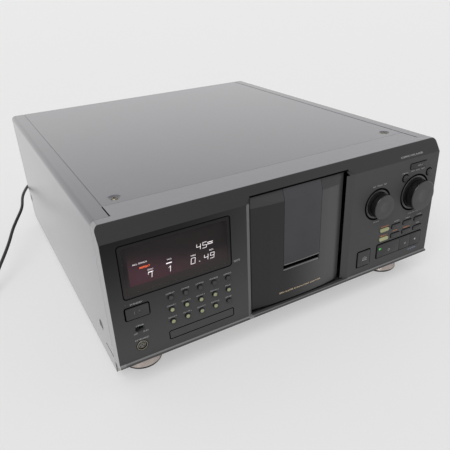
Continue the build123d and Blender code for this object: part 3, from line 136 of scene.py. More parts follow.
class Finish:
    """A material: its node maker and its shader."""

    def __init__(self, name, **values):
        self.material = bpy.data.materials.new(name)
        self.material.use_nodes = True
        self.tree = self.material.node_tree
        self.shader = self.tree.nodes["Principled BSDF"]
        self.set(**values)
        self.place = self.node("ShaderNodeTexCoord", output="Object")

    def node(self, kind, settings=(), values=(), output=0):
        """A new node's output, after its settings and then its sockets are given."""
        made = self.tree.nodes.new(kind)
        for key, value in dict(settings).items():
            setattr(made, key, value)
        for key, value in dict(values).items():
            self.join(made.inputs[key], value)
        return Level(self, made.outputs[output])

    def join(self, socket, value):
        """Links a level to a socket, or sets the socket's own value."""
        if isinstance(value, Level):
            self.tree.links.new(value.socket, socket)
        elif socket.type == "RGBA":
            socket.default_value = (*value, 1)
        else:
            socket.default_value = value

    def set(self, **values):
        """Shader sockets by name, with underscores for spaces."""
        for key, value in values.items():
            self.join(self.shader.inputs[key.replace("_", " ")], value)

    def noise(self, scale, detail=2.0, roughness=0.5, stretch=(1, 1, 1)):
        placed = self.node("ShaderNodeMapping", {}, {"Vector": self.place, "Scale": stretch})
        values = {"Vector": placed, "Scale": scale, "Detail": detail, "Roughness": roughness}
        return self.node("ShaderNodeTexNoise", {}, values)

    def blend(self, factor, first, second):
        """The first colour where the factor is 0, and the second where it is 1."""
        values = {"Factor": factor, MIX_FIRST: first, MIX_SECOND: second}
        return self.node("ShaderNodeMix", {"data_type": "RGBA"}, values, MIX_RESULT)

    def ramp(self, value, low, high):
        """0 at low and 1 at high, smoothly."""
        values = {"Value": value, "From Min": low, "From Max": high}
        return self.node("ShaderNodeMapRange", {"interpolation_type": "SMOOTHSTEP"}, values)

    def between(self, value, rise, fall):
        """0, then 1 from the end of the rise to the start of the fall, then 0 again."""
        return self.ramp(value, *rise) * (1 - self.ramp(value, *fall))

    def part_of(self, vector, axis):
        return self.node("ShaderNodeSeparateXYZ", {}, {0: vector}, axis)

    def x(self):
        """Millimetres to the right of the machine's middle."""
        return 1000 * self.part_of(self.place, 0)

    def y(self):
        """Millimetres back from the flat of the front panel."""
        return 1000 * self.part_of(self.place, 1) + MIDDLE

    def z(self):
        """Millimetres up from the table."""
        return 1000 * self.part_of(self.place, 2)

    def frontward(self):
        """1 where the surface faces the front, and -1 where it faces the rear."""
        return 0 - self.part_of(self.node("ShaderNodeNewGeometry", output="Normal"), 1)

    def bump(self, height, strength, distance):
        values = {"Height": height, "Strength": strength, "Distance": distance}
        self.set(Normal=self.node("ShaderNodeBump", {}, values))


def grey(level):
    """A neutral colour read as an 8-bit display level, by the display's standard curve."""
    share = level / 255
    return even(((share + 0.055) / 1.055) ** 2.4 if share > 0.04045 else share / 12.92)


def even(share):
    """A neutral colour that sends back this share of the light."""
    return (share, share, share)


def tone(red, green, blue):
    """A colour read as three 8-bit display levels."""
    return tuple(grey(level)[0] for level in (red, green, blue))


def times(factor, colour):
    return tuple(min(1, factor * channel) for channel in colour)


# ---- Finishes ----
def grained(name, roughness, grain=0.25, scale=2600, shine=0.5):
    """Moulded plastic with a fine spark-eroded grain, still without its colour."""
    finish = Finish(name, Specular_IOR_Level=shine)
    handled = finish.noise(55, 4, 0.6)
    finish.set(Roughness=roughness - 0.06 + 0.12 * handled)
    finish.bump(finish.noise(scale, 1), grain, 0.00004)
    return finish


def moulded(name, colour, roughness=0.42, grain=0.25, scale=2600, tint=0.25, shine=0.5):
    """Grained plastic in one colour with a faint cloudiness."""
    finish = grained(name, roughness, grain, scale, shine)
    cloud = finish.ramp(finish.noise(9, 3), 0.35, 0.65)
    darker = times(1 - tint, colour)
    lighter = times(1 + tint, colour)
    finish.set(Base_Color=finish.blend(cloud, darker, lighter))
    return finish


def painted_sheet(name, colour, roughness):
    """Baked satin paint on sheet steel, with dust, rub marks and a few fine scratches."""
    finish = Finish(name, Specular_IOR_Level=0.6, Sheen_Weight=0.18, Sheen_Roughness=0.35)
    finish.set(Coat_Weight=1.0, Coat_Roughness=0.22, Coat_IOR=1.65)
    cloud = finish.noise(5, 4)
    dust = finish.ramp(finish.noise(700, 3, 0.7), 0.62, 0.78)
    along = finish.ramp(finish.noise(60, 2, 0.5, (0.6, 26, 26)), 0.68, 0.72)
    across = finish.ramp(finish.noise(50, 2, 0.5, (30, 0.7, 30)), 0.7, 0.735)
    patches = finish.ramp(finish.noise(11, 3), 0.5, 0.62)
    marks = (along + across) * patches
    base = finish.blend(finish.ramp(cloud, 0.3, 0.7), times(0.8, colour), times(1.2, colour))
    finish.set(Base_Color=finish.blend(0.05 * dust + 0.1 * marks, base, grey(170)))
    finish.set(Roughness=roughness - 0.05 + 0.1 * cloud + 0.12 * dust - 0.05 * marks)
    finish.bump(finish.noise(1500, 2) + 0.5 * marks, 0.22, 0.00005)
    return finish


def plated(name, colour, roughness, stretch=(1, 1, 1)):
    """Bare or plated metal with a drawn grain."""
    finish = Finish(name, Metallic=1.0)
    drawn = finish.noise(300, 3, 0.6, stretch)
    finish.set(Base_Color=finish.blend(drawn, times(0.8, colour), colour))
    finish.set(Roughness=roughness - 0.08 + 0.16 * drawn)
    finish.bump(drawn, 0.1, 0.00003)
    return finish


def lit(name, colour, strength):
    """A glowing mark."""
    finish = Finish(name, Base_Color=times(0.2, colour), Roughness=0.6)
    flicker = finish.noise(2500, 1)
    finish.set(Emission_Color=finish.blend(flicker, times(0.86, colour), colour))
    finish.set(Emission_Strength=strength)
    return finish


def ink(name, colour):
    """Screen-printed marks, a little uneven in their cover."""
    finish = Finish(name, Roughness=0.55)
    worn = finish.noise(1800, 2)
    finish.set(Base_Color=finish.blend(worn, times(0.72, colour), colour))
    return finish


def rubber(name, colour):
    """The lead's soft jacket, faintly mottled."""
    finish = Finish(name)
    fine = finish.noise(900, 3)
    finish.set(Base_Color=finish.blend(fine, times(0.7, colour), times(1.4, colour)))
    finish.set(Roughness=0.5 + 0.18 * finish.noise(70, 3))
    finish.bump(fine, 0.2, 0.00005)
    return finish


def panel_finish():
    """Satin black moulding, duller and darker up at the left by painted shade; its edges carry
    painted highlights.
    """
    finish = grained("panel_black", 0.44, shine=0.17)
    x = finish.x()
    y = finish.y()
    z = finish.z()
    # Painted shade and reflection: near black up at the left, lighter low down and towards the
    # right.
    low = 1 - finish.ramp(z, 45, 185)
    right = finish.ramp(x, -160, 60)
    base = finish.blend(low + right * (1 - low), even(0.003), (0.060, 0.060, 0.062))
    base = finish.blend(0.2 * finish.noise(9, 3), base, (0.02, 0.02, 0.021))
    # Painted shade: the leaning band keeps a tone of its own, a little lighter towards the right.
    band = finish.ramp(z, BAND_FOOT - 0.3, BAND_FOOT + 0.3)
    base = finish.blend(band * (1 - 0.2 * right), base, (0.029, 0.029, 0.030))
    # Painted reflection: the top edge and the left side of the panel are lighter, under a strong
    # coat.
    top = finish.ramp(z, HEIGHT - 0.55, HEIGHT - 0.15)
    base = finish.blend(top, base, tone(86, 85, 91))
    under_top = 1 - finish.ramp(z, HEIGHT - 0.6, HEIGHT - 0.2)
    at_left = 1 - finish.ramp(x, -209.0, -208.4)
    left_side_glare = (1 - finish.ramp(finish.frontward(), 0.35, 0.8)) * under_top * at_left
    base = finish.blend(left_side_glare, base, grey(118))
    finish.set(Coat_Weight=0.95 * left_side_glare + 0.95 * top, Coat_IOR=2.3, Coat_Roughness=0.22)
    # Painted highlights on the left jamb of the door's opening and on the narrow ledge along the
    # panel's foot.
    left_jamb_highlight = finish.between(x, (-64.6, -64.1), (-59.2, -58.6)) * (y < 6)
    left_jamb_highlight = left_jamb_highlight * (1 - finish.ramp(z, BAND_FOOT - 0.8, BAND_FOOT))
    lip_highlight = finish.between(z, (34.7, 35.1), (35.8, 36.3)) * (y < -0.2)
    finish.set(Base_Color=finish.blend(0.95 * left_jamb_highlight + 0.9 * lip_highlight, base, grey(116)))
    return finish


def door_finish():
    """The door's satin black, lighter towards the right and on its top by painted light, black at
    its right end by painted shade.
    """
    finish = grained("door_black", 0.36, 0.12, shine=0.3)
    x = finish.x()
    # Painted light and shade: lighter towards the right, a tone of its own on the sloped top, black
    # at the right end.
    lit_to_right = finish.between(x, (-20, 52), (56.5, 64.5))
    end = finish.ramp(x, 58.5, 65.5)
    painted_facet = finish.ramp(finish.z(), 164.4, 165.0) * (1 - end)
    base = finish.blend(lit_to_right, even(0.014), even(0.068))
    base = finish.blend(painted_facet, base, (0.036, 0.036, 0.037))
    finish.set(Base_Color=finish.blend(end, base, even(0.001)))
    return finish


panel_black = panel_finish()
door_black = door_finish()
pane_black = moulded("pane_black", (0.024, 0.024, 0.029), 0.24, 0.05)
key_black = moulded("key_black", (0.034, 0.034, 0.035), 0.40, shine=0.25)
key_lime = moulded("key_lime", tone(150, 153, 116), 0.5, 0.15, tint=0.12)
# Painted shade: the round buttons' near-black bodies stand for the dark gap round their caps.
button_shade_black = moulded("button_shade_black", even(0.006), 0.3)
button_grey = moulded("button_grey", (0.03, 0.03, 0.031), 0.35)
# Black for joint lines, and painted shade in the finger scoop, over the door's opening and round the
# dials.
joint_and_shade_black = moulded("joint_and_shade_black", even(0.002), 0.9, shine=0.0)
# Painted highlight grey for the light edges of the door's finger scoop.
highlight_grey = moulded("highlight_grey", grey(112), 0.4)
cover_black = painted_sheet("cover_black", (0.038, 0.036, 0.050), 0.36)
rear_black = painted_sheet("rear_black", (0.03, 0.03, 0.031), 0.45)
zinc_plate = plated("zinc_plate", (0.52, 0.52, 0.5), 0.42, (1, 12, 1))
motor_case = plated("motor_case", even(0.62), 0.33)
gold_plate = plated("gold_plate", (0.83, 0.63, 0.3), 0.25)
screw_bronze = plated("screw_bronze", (0.21, 0.19, 0.15), 0.34)
white_ink = ink("white_ink", grey(178))
dim_ink = ink("dim_ink", grey(118))
gold_ink = ink("gold_ink", tone(240, 214, 178))
orange_ink = ink("orange_ink", tone(232, 140, 76))
blue_ink = ink("blue_ink", tone(160, 172, 205))
cord_jacket = rubber("cord_jacket", (0.022, 0.022, 0.023))
dark_moulding = moulded("dark_moulding", (0.055, 0.055, 0.058), 0.5)
sled_moulding = moulded("sled_moulding", even(0.08), 0.45)
white_nylon = moulded("white_nylon", (0.74, 0.73, 0.69), 0.38, 0.1, 1800, 0.05)
shaft_grey = moulded("shaft_grey", even(0.3), 0.4)
socket_black = moulded("socket_black", even(0.012), 0.35)
shell_gold = plated("shell_gold", (0.42, 0.37, 0.25), 0.32)
lamp_green = lit("lamp_green", (0.05, 0.55, 0.06), 1.0)
display_white = lit("display_white", (0.84, 0.78, 0.80), 1.2)
display_orange = lit("display_orange", (1.0, 0.15, 0.035), 1.5)


def carousel_finish():
    """Dark moulding whose comb is a little dusty on its upper edges."""
    finish = Finish("carousel_moulding")
    dust = finish.ramp(finish.noise(260, 4, 0.65), 0.48, 0.7)
    upper = finish.ramp(finish.z(), 30, 80)
    finish.set(Base_Color=finish.blend(0.25 * dust * upper, (0.05, 0.05, 0.054), grey(120)))
    finish.set(Roughness=0.42 + 0.2 * dust)
    finish.bump(finish.noise(2200, 1), 0.15, 0.00004)
    return finish


def board_finish():
    """Green solder resist with raised tracks."""
    finish = Finish("board_green")
    values = {"Vector": finish.place, "Scale": 260.0}
    cells = finish.node("ShaderNodeTexVoronoi", {"feature": "DISTANCE_TO_EDGE"}, values)
    track = 1 - finish.ramp(cells, 0.05, 0.09)
    finish.set(Base_Color=finish.blend(track, (0.03, 0.12, 0.05), (0.08, 0.25, 0.1)))
    finish.set(Roughness=0.35 + 0.2 * finish.noise(300, 2))
    finish.bump(track, 0.3, 0.00005)
    return finish


def core_finish():
    """Varnished laminations across the transformer's core."""
    finish = Finish("varnished_core", Metallic=0.4)
    values = {"Vector": finish.place, "Scale": 320.0}
    sheets = finish.node("ShaderNodeTexWave", {"bands_direction": "Y"}, values)
    finish.set(Base_Color=finish.blend(sheets, (0.09, 0.08, 0.07), (0.26, 0.23, 0.18)))
    finish.set(Roughness=0.45 + 0.15 * finish.noise(120, 3))
    finish.bump(sheets, 0.3, 0.00008)
    return finish


def foot_finish():
    """Black pad under a copper-coloured bevelled waist."""
    finish = Finish("foot_two_tone")
    waist = finish.between(finish.z(), (2.6, 3.0), (11.2, 11.8))
    fine = finish.noise(90, 3)
    copper = finish.blend(fine, tone(138, 127, 122), tone(190, 180, 174))
    finish.set(Base_Color=finish.blend(waist, even(0.015), copper))
    finish.set(Metallic=0.9 * waist, Roughness=0.6 - 0.36 * waist + 0.06 * fine)
    return finish


def dial_finish(name):
    """Glossy black side and rim round a matt grey face with a dish in its middle, lighter there by a
    painted highlight.
    """
    finish = Finish(f"{name}_gloss", Specular_IOR_Level=0.6)
    dial = DIALS[name]
    across = finish.x() - dial["x"]
    up = finish.z() - dial["z"]
    reach = (across * across + up * up) ** 0.5
    front = 1 - finish.ramp(finish.y(), 0.62 - dial["proud"], 0.9 - dial["proud"])
    inside = 1 - finish.ramp(reach, dial["radius"] - 0.9, dial["radius"] - 0.6)
    face = front * inside
    # Painted highlight: the face is lighter inside its dish.
    dish = 1 - finish.ramp(reach, 0.38 * dial["radius"], 0.46 * dial["radius"])
    satin = finish.blend(0.5 * dish + 0.3 * finish.noise(90, 3), grey(42), grey(58))
    finish.set(Base_Color=finish.blend(face, even(0.006), satin))
    finish.set(Roughness=0.14 + 0.32 * face)
    return finish


def smoked_display():
    """Smoked plastic with faint wiping marks, clear inside the border printed on its front."""
    finish = Finish("smoked_display", IOR=1.49, Specular_IOR_Level=0.06)
    z = finish.z()
    inside = finish.between(finish.x(), (-196.6, -196.2), (-87.8, -87.4))
    inside = inside * finish.between(z, (113.6, 114.0), (162.8, 163.2))
    on_front = finish.y() < 0.6
    finish.set(Alpha=(1 - inside) * on_front)
    wiped = finish.noise(30, 4, 0.6, (1, 1, 5))
    # Painted shade: the printed border is darker towards the top.
    border = finish.blend(finish.ramp(z, 112, 142), (0.036, 0.033, 0.032), (0.018, 0.0165, 0.017))
    finish.set(Base_Color=finish.blend(0.2 * wiped, border, even(0.04)))
    finish.set(Roughness=0.3 + 0.08 * wiped)
    return finish


def tube_painted_glow():
    """Display field, painted as glowing and darker above, with a painted dull red glow that fades
    out to the upper right.
    """
    finish = Finish("tube_painted_glow", Base_Color=(0.01, 0.008, 0.008), Roughness=0.8)
    finish.set(Specular_IOR_Level=0.1, Emission_Strength=1.0)
    x = finish.x()
    z = finish.z()
    # Painted light: a dull red glow over the lower left of the field, fading out to the upper right.
    left = finish.ramp(x, -191.2, -190.4)
    right = 1 - finish.ramp(x, -186, -98)
    low = finish.ramp(z, 117.2, 118.0)
    high = 1 - finish.ramp(z + 0.2 * x, 91, 118)
    glow = left * low * (0.25 + 0.75 * right) * high
    # Painted light: the field glows, and more dimly towards the top.
    field = finish.blend(finish.ramp(z, 108, 140), (0.034, 0.030, 0.030), (0.0125, 0.011, 0.0115))
    finish.set(Emission_Color=finish.blend(glow, field, (0.056, 0.026, 0.034)))
    return finish


# Every node's finish, but for the keys and round buttons, which have theirs by kind.
finishes = {
    "top_cover": cover_black,
    "cover_screws": screw_bronze,
    "chassis": zinc_plate,
    "rear_panel": rear_black,
    "feet": foot_finish(),
    "front_panel": panel_black,
    "display_window": smoked_display(),
    "front_door": door_black,
    "door_window": pane_black,
    "carousel": carousel_finish(),
    "table_drive_gear": white_nylon,
    "table_motor": motor_case,
    "player_base": dark_moulding,
    "laser_sled": sled_moulding,
    "disc_turntable": dark_moulding,
    "loading_lever": white_nylon,
    "circuit_boards": board_finish(),
    "power_transformer": core_finish(),
    "keyboard_socket": socket_black,
    "rear_jacks": socket_black,
    "timer_switch": moulded("switch_black", even(0.004), 0.6, shine=0.1),
    "small_dial": dial_finish("small_dial"),
    "large_dial": dial_finish("large_dial"),
    "small_dial_shaft": shaft_grey,
    "large_dial_shaft": shaft_grey,
    "power_cord": cord_jacket,
    "cord_coil": cord_jacket,
    "power_plug": cord_jacket,
    "cord_strain_relief": cord_jacket,
}
LIME_KEYS = ("oblong_key_1", "oblong_key_5")
LIME_BUTTONS = range(6, 15)
BUTTONS = range(1, 16)


def finish_of(node):
    if node in finishes:
        return finishes[node]
    if "round_button" in node:
        return button_shade_black
    return key_lime if node in LIME_KEYS else key_black


for node, part in nodes.items():
    part.data.materials.clear()
    part.data.materials.append(finish_of(node).material)


# ---- Making pieces ----
TO_FRONT = (0, -1, 0)
TO_REAR = (0, 1, 0)
SMOOTH_UNDER = radians(35)  # edges that turn by less than this are shaded smooth
MERGE = 1e-6                # corners nearer than this many metres are one


def finished(name, shape, finish, body, replaced=()):
    """Makes a piece of a shape, gives it its finish and lets it ride on its body."""
    mesh = bpy.data.meshes.new(name)
    shape.to_mesh(mesh)
    shape.free()
    mesh.materials.append(finish.material)
    mesh.shade_smooth()
    mesh.set_sharp_from_angle(angle=SMOOTH_UNDER)
    piece = bpy.data.objects.new(name, mesh)
    scene.collection.objects.link(piece)
    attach(piece, body)
    if replaced:
        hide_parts(*replaced)
    return piece


def closed(shape):
    """Merges a shape's doubles and turns its faces outwards."""
    bmesh.ops.remove_doubles(shape, verts=shape.verts, dist=MERGE)
    bmesh.ops.recalc_face_normals(shape, faces=shape.faces)
    return shape


def facing_front(shape):
    """Turns a thin shape's faces to the front."""
    shape.normal_update()
    if next(iter(shape.faces)).normal.y > 0:
        bmesh.ops.reverse_faces(shape, faces=shape.faces)
    return shape


def turned(profile, place, direction, steps=48):
    """A ring or knob turned about a line: the profile is (radius, height) in millimetres."""
    shape = bmesh.new()
    verts = [shape.verts.new((radius, 0, height)) for radius, height in profile]
    edges = [shape.edges.new(pair) for pair in zip(verts, verts[1:])]
    bmesh.ops.spin(
        shape,
        geom=verts + edges,
        cent=(0, 0, 0),
        axis=(0, 0, 1),
        angle=2 * pi,
        steps=steps,
        use_merge=True,
    )
    turn = Vector(direction).to_track_quat("Z", "Y").to_matrix().to_4x4()
    placed = Matrix.Translation(at(*place)) @ turn @ Matrix.Scale(0.001, 4)
    bmesh.ops.transform(shape, matrix=placed, verts=shape.verts)
    return closed(shape)


def slab(x, y, z):
    """A plate between two X, Y and Z places."""
    low = at(x[0], y[0], z[0])
    high = at(x[1], y[1], z[1])
    shape = bmesh.new()
    bmesh.ops.create_cube(shape, size=1)
    bmesh.ops.scale(shape, vec=high - low, verts=shape.verts)
    bmesh.ops.translate(shape, vec=(low + high) / 2, verts=shape.verts)
    return closed(shape)


def swept(line, reach):
    """A strip that a line of places leaves when it moves by a reach in millimetres."""
    shape = bmesh.new()
    verts = [shape.verts.new(at(*place)) for place in line]
    edges = [shape.edges.new(pair) for pair in zip(verts, verts[1:])]
    out = bmesh.ops.extrude_edge_only(shape, edges=edges)
    moved = [item for item in out["geom"] if isinstance(item, bmesh.types.BMVert)]
    bmesh.ops.translate(shape, vec=Vector(reach) / 1000, verts=moved)
    return facing_front(shape)


def gather(*shapes):
    """Several shapes in one."""
    whole = bmesh.new()
    for shape in shapes:
        mesh = bpy.data.meshes.new("part")
        shape.to_mesh(mesh)
        shape.free()
        whole.from_mesh(mesh)
        bpy.data.meshes.remove(mesh)
    return whole


def eased(node, width=0.25, segments=2, sharp=30):
    """A piece with the node's own shape in its place, its sharp edges eased."""
    shape = bmesh.new()
    shape.from_mesh(nodes[node].data)
    bmesh.ops.remove_doubles(shape, verts=shape.verts, dist=MERGE)
    bmesh.ops.dissolve_limit(
        shape, angle_limit=radians(0.5), verts=shape.verts, edges=shape.edges
    )
    edges = []
    for edge in shape.edges:
        if len(edge.link_faces) == 2 and edge.calc_face_angle(0) > radians(sharp):
            edges.append(edge)
    bmesh.ops.bevel(
        shape,
        geom=edges,
        offset=width / 1000,
        segments=segments,
        profile=0.5,
        affect="EDGES",
        material=-1,
        clamp_overlap=True,
    )
    return finished(f"{node}_eased", shape, finish_of(node), body_of_node[node], [node])


# ---- Keys, buttons and dials ----
BUTTON_CAP = [(0.0, 0.2), (1.2, 0.24), (1.85, 0.3), (2.05, 0.2), (2.1, 0.0)]
BUTTON_FACE = -1.75

for node in list(nodes):
    if "_key" in node or "_button" in node:
        eased(node)
eased("timer_switch", 0.3)
for number in BUTTONS:
    name = f"round_button_{number:02d}"
    middle = (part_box(name)[0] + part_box(name)[1]) / 2
    face = (middle.x * 1000, BUTTON_FACE, middle.z * 1000)
    cap_finish = key_lime if number in LIME_BUTTONS else button_grey
    finished(f"{name}_cap", turned(BUTTON_CAP, face, TO_FRONT, 24), cap_finish, name)
for node in DIALS:
    eased(node, 0.22, 3, 25)


# ---- Joint lines ----
def ring_points(x, z, radius, start, turn, steps):
    """Places along an arc on the front, from one angle on by a turn."""
    angles = [start + turn * step / steps for step in range(steps + 1)]
    return [(x + radius * cos(angle), z + radius * sin(angle)) for angle in angles]


def rounded(x0, x1, z0, z1, corner):
    """Corner points of a rectangle with round corners, one way round."""
    centres = [
        (x1 - corner, z1 - corner),
        (x0 + corner, z1 - corner),
        (x0 + corner, z0 + corner),
        (x1 - corner, z0 + corner),
    ]
    points = []
    for quarter, (x, z) in enumerate(centres):
        points += ring_points(x, z, corner, quarter * pi / 2, pi / 2, 5)
    return points


def seam(x0, x1, z0, z1, corner, width, wider=0.0):
    """A dark joint line round a rectangle, as wide as given, and wider at the left and above by
    painted shadow.
    """
    shape = bmesh.new()
    inner = rounded(x0, x1, z0, z1, corner)
    outer = rounded(
        x0 - width - wider, x1 + width, z0 - width, z1 + width + wider, corner + width
    )
    loops = []
    for outline in (inner, outer):
        ring = [shape.verts.new(at(x, JOINT_Y, z)) for x, z in outline]
        loops += [shape.edges.new(pair) for pair in zip(ring, ring[1:] + ring[:1])]
    bmesh.ops.bridge_loops(shape, edges=loops)
    return facing_front(shape)


joints = [
    seam(-200.2, -84.1, 110.0, 166.8, 2.8, 0.95),  # display window
    seam(-201.2, -177.8, 86.8, 99.4, 0.9, 1.5),    # power button
    seam(-158.8, -84.1, 46.2, 55.4, 1.2, 1.0),     # blank strip under the round buttons
    seam(93.5, 112.7, 46.2, 66.6, 0.9, 1.7),       # open and close key
    seam(125.2, 201.0, 49.4, 67.4, 0.8, 1.5),      # play, pause and stop keys
    seam(167.0, 193.2, 159.7, 165.9, 0.9, 0.9),    # upper key
]
finished("joint_lines", gather(*joints), joint_and_shade_black, "casing")

OBLONG_KEYS_X = (134.4, 154.1, 173.8, 193.5)
OBLONG_KEYS_Z = (87.3, 74.7)
for row, z in enumerate(OBLONG_KEYS_Z):
    joints = []
    for x in OBLONG_KEYS_X:
        # Painted shadow: all but the first key's joint lines are wider at the left and above.
        wider = 0.0 if x == OBLONG_KEYS_X[0] else 0.4
        joints.append(seam(x - 7.5, x + 7.4, z - 2.5, z + 2.75, 2.0, 0.5, wider))
    finished(f"oblong_key_joints_{row + 1}", gather(*joints), joint_and_shade_black, "casing")

ROUND_KEYS_X = (160.6, 200.9)
ROUND_KEYS_Z = 149.4
# Painted shadow: these joint lines are wider at the left and above.
joints = []
for x in ROUND_KEYS_X:
    z = ROUND_KEYS_Z
    joints.append(seam(x - 4.0, x + 4.0, z - 4.0, z + 4.0, 3.95, 0.9, 0.8))
finished("small_round_key_joints", gather(*joints), joint_and_shade_black, "casing")


# ---- Faces that carry lettering: each gives its depth at an X and Z place ----
def panel_face(x, z):
    return 0.0


def band_face(x, z):
    return (z - BAND_FOOT) * BAND_LEAN / BAND_HEIGHT


def door_face(x, z):
    return DOOR_FACE + (x - DOOR_X) ** 2 / (2 * DOOR_BOW)


def patch(places):
    """A flat face with these corners, turned to the front."""
    shape = bmesh.new()
    shape.faces.new([shape.verts.new(at(*place)) for place in places])
    return facing_front(shape)


# Painted shadow: a black line on the band, over the door's opening.
corners = ((-58.5, 178.1), (71.0, 178.1), (71.0, 179.6), (-58.5, 179.6))
upper_shadow_line = patch([(x, band_face(x, z) - PRINT, z) for x, z in corners])
finished("opening_upper_shadow_line", upper_shadow_line, joint_and_shade_black, "casing")


# ---- Lettering ----
def word_mesh(text):
    """A word as a flat mesh, in the size that its letters come in."""
    curve = bpy.data.curves.new("word", "FONT")
    curve.body = text
    curve.resolution_u = 2
    word = bpy.data.objects.new("word", curve)
    scene.collection.objects.link(word)
    bpy.context.view_layer.update()
    drawn = word.evaluated_get(bpy.context.evaluated_depsgraph_get())
    mesh = bpy.data.meshes.new_from_object(drawn)
    bpy.data.objects.remove(word)
    return mesh


def lettering(name, words, finish, body, face=panel_face):
    """Words printed on a face: each is (text, left X, right X, middle Z, height)."""
    shape = bmesh.new()
    for text, left, right, middle, height in words:
        mesh = word_mesh(text)
        xs = [vert.co.x for vert in mesh.vertices]
        ys = [vert.co.y for vert in mesh.vertices]
        wide = (right - left) / (max(xs) - min(xs))
        tall = height / (max(ys) - min(ys))
        for vert in mesh.vertices:
            x = left + (vert.co.x - min(xs)) * wide
            z = middle + (vert.co.y - (min(ys) + max(ys)) / 2) * tall
            vert.co = at(x, face(x, z) - PRINT, z)
        shape.from_mesh(mesh)
        bpy.data.meshes.remove(mesh)
    return finished(name, shape, finish, body)


FIRST_COLUMN = -154.2
COLUMN_PITCH = 16.27


def over(column, text, half, z, height):
    """A word centred on a column of round buttons."""
    x = FIRST_COLUMN + COLUMN_PITCH * column
    return (text, x - half, x + half, z, height)


words = [
    ("STANDBY", -195.7, -183.0, 103.0, 1.7),
    ("TIMER", -193.2, -184.9, 76.3, 1.7),
    ("OFF", -196.2, -192.2, 67.6, 1.6),
    ("PLAY", -186.1, -180.7, 67.6, 1.6),
    ("KEYBOARD", -196.0, -181.4, 59.6, 1.7),
    ("REMOTE", -80.9, -73.6, 113.3, 2.2),
]
for column, text in enumerate(("DISPLAY", "CONTINUE", "SHUFFLE", "PROGRAM", "REPEAT")):
    words.append(over(column, text, 4.6, 101.2, 1.6))
for z, first in ((86.6, 1), (72.3, 5)):
    for column in range(4):
        words.append(over(column, f"GROUP {first + column}", 4.8, z, 1.5))
words += [
    over(4, "FILE", 3, 86.6, 1.5),
    over(4, "ERASE", 3.6, 72.3, 1.5),
    ("SKIP   TRACK   SKIP", 108.1, 129.6, 150.2, 1.6),
    ("PUSH", 114.0, 123.0, 102.6, 1.6),
    ("MEMO", 154.6, 163.8, 156.3, 1.6),
    ("SKIP   DISC   SKIP", 168.9, 192.0, 156.5, 1.5),
    ("PUSH ENTER", 173.4, 190.9, 98.9, 1.6),
    ("DISC", 150.7, 159.0, 94.0, 1.5),
    ("CHECK", 170.2, 177.6, 93.2, 1.5),
    ("CLEAR", 190.4, 198.4, 93.2, 1.5),
    ("TIME", 190.5, 196.8, 80.7, 1.5),
]
lettering("panel_words", words, white_ink, "casing")
words = [
    ("SEARCH", 128.3, 140.6, 91.6, 1.6),
    ("MEMO", 128.3, 140.6, 79.0, 1.6),
    ("FADE", 150.4, 157.6, 80.8, 1.5),
    ("MIXED", 168.7, 179.0, 80.4, 1.5),
]
lettering("panel_words_orange", words, orange_ink, "casing")
words = [("CONTROL", 182.0, 197.2, 44.0, 1.7)]
lettering("panel_words_blue", words, blue_ink, "casing")
words = [("COMPACT DISC PLAYER", 151.0, 187.0, 176.6, 1.8)]
lettering("band_words", words, white_ink, "casing", band_face)
words = [("DISC PLAYER WITH ROTARY CAROUSEL", -22.0, 37.8, 49.7, 1.8)]
lettering("door_words", words, gold_ink, "door", door_face)

# ---- Painted highlights on the edges of the door's finger scoop, and painted shade in its back ----
SCOOP_LEFT = -16.2
LIP_POINTS = 14
LIP_PITCH = 3.8
lower_highlight = [(SCOOP_LEFT, 2.38, 77.9), (SCOOP_LEFT, 2.79, 78.9)]
finished("scoop_lower_highlight", swept(lower_highlight, (49.4, 0, 0)), highlight_grey, "door")
upper_highlight = []
for number in range(LIP_POINTS):
    x = SCOOP_LEFT + LIP_PITCH * number
    upper_highlight.append((x, door_face(x, 0) - PRINT, 85.4))
finished("scoop_upper_highlight", swept(upper_highlight, (0, 0, 1.1)), highlight_grey, "door")
shade_liner = [(-16.8, 3.12, 79.7), (-16.8, 4.08, 82.05), (-16.8, 4.08, 85.3)]
finished("scoop_shade_liner", swept(shade_liner, (50.6, 0, 0)), joint_and_shade_black, "door")


# ---- Marks on the keys ----
def mark(points, y):
    """A flat mark with these corners, at a depth."""
    return patch([(x, y, z) for x, z in points])


def bar(x0, x1, z0, z1, y, slant=0.0):
    """A bar whose top is shifted to the right by the slant."""
    return mark([(x0, z0), (x1, z0), (x1 + slant, z1), (x0 + slant, z1)], y)


def drawn_line(points, width, y):
    """An open line drawn through these points."""
    shapes = []
    for (x0, z0), (x1, z1) in zip(points, points[1:]):
        run = Vector((x1 - x0, z1 - z0)).normalized() * width / 2
        side = Vector((-run.y, run.x))
        corners = [
            (x0 - run.x + side.x, z0 - run.y + side.y),
            (x1 + run.x + side.x, z1 + run.y + side.y),
            (x1 + run.x - side.x, z1 + run.y - side.y),
            (x0 - run.x - side.x, z0 - run.y - side.y),
        ]
        shapes.append(mark(corners, y))
    return gather(*shapes)


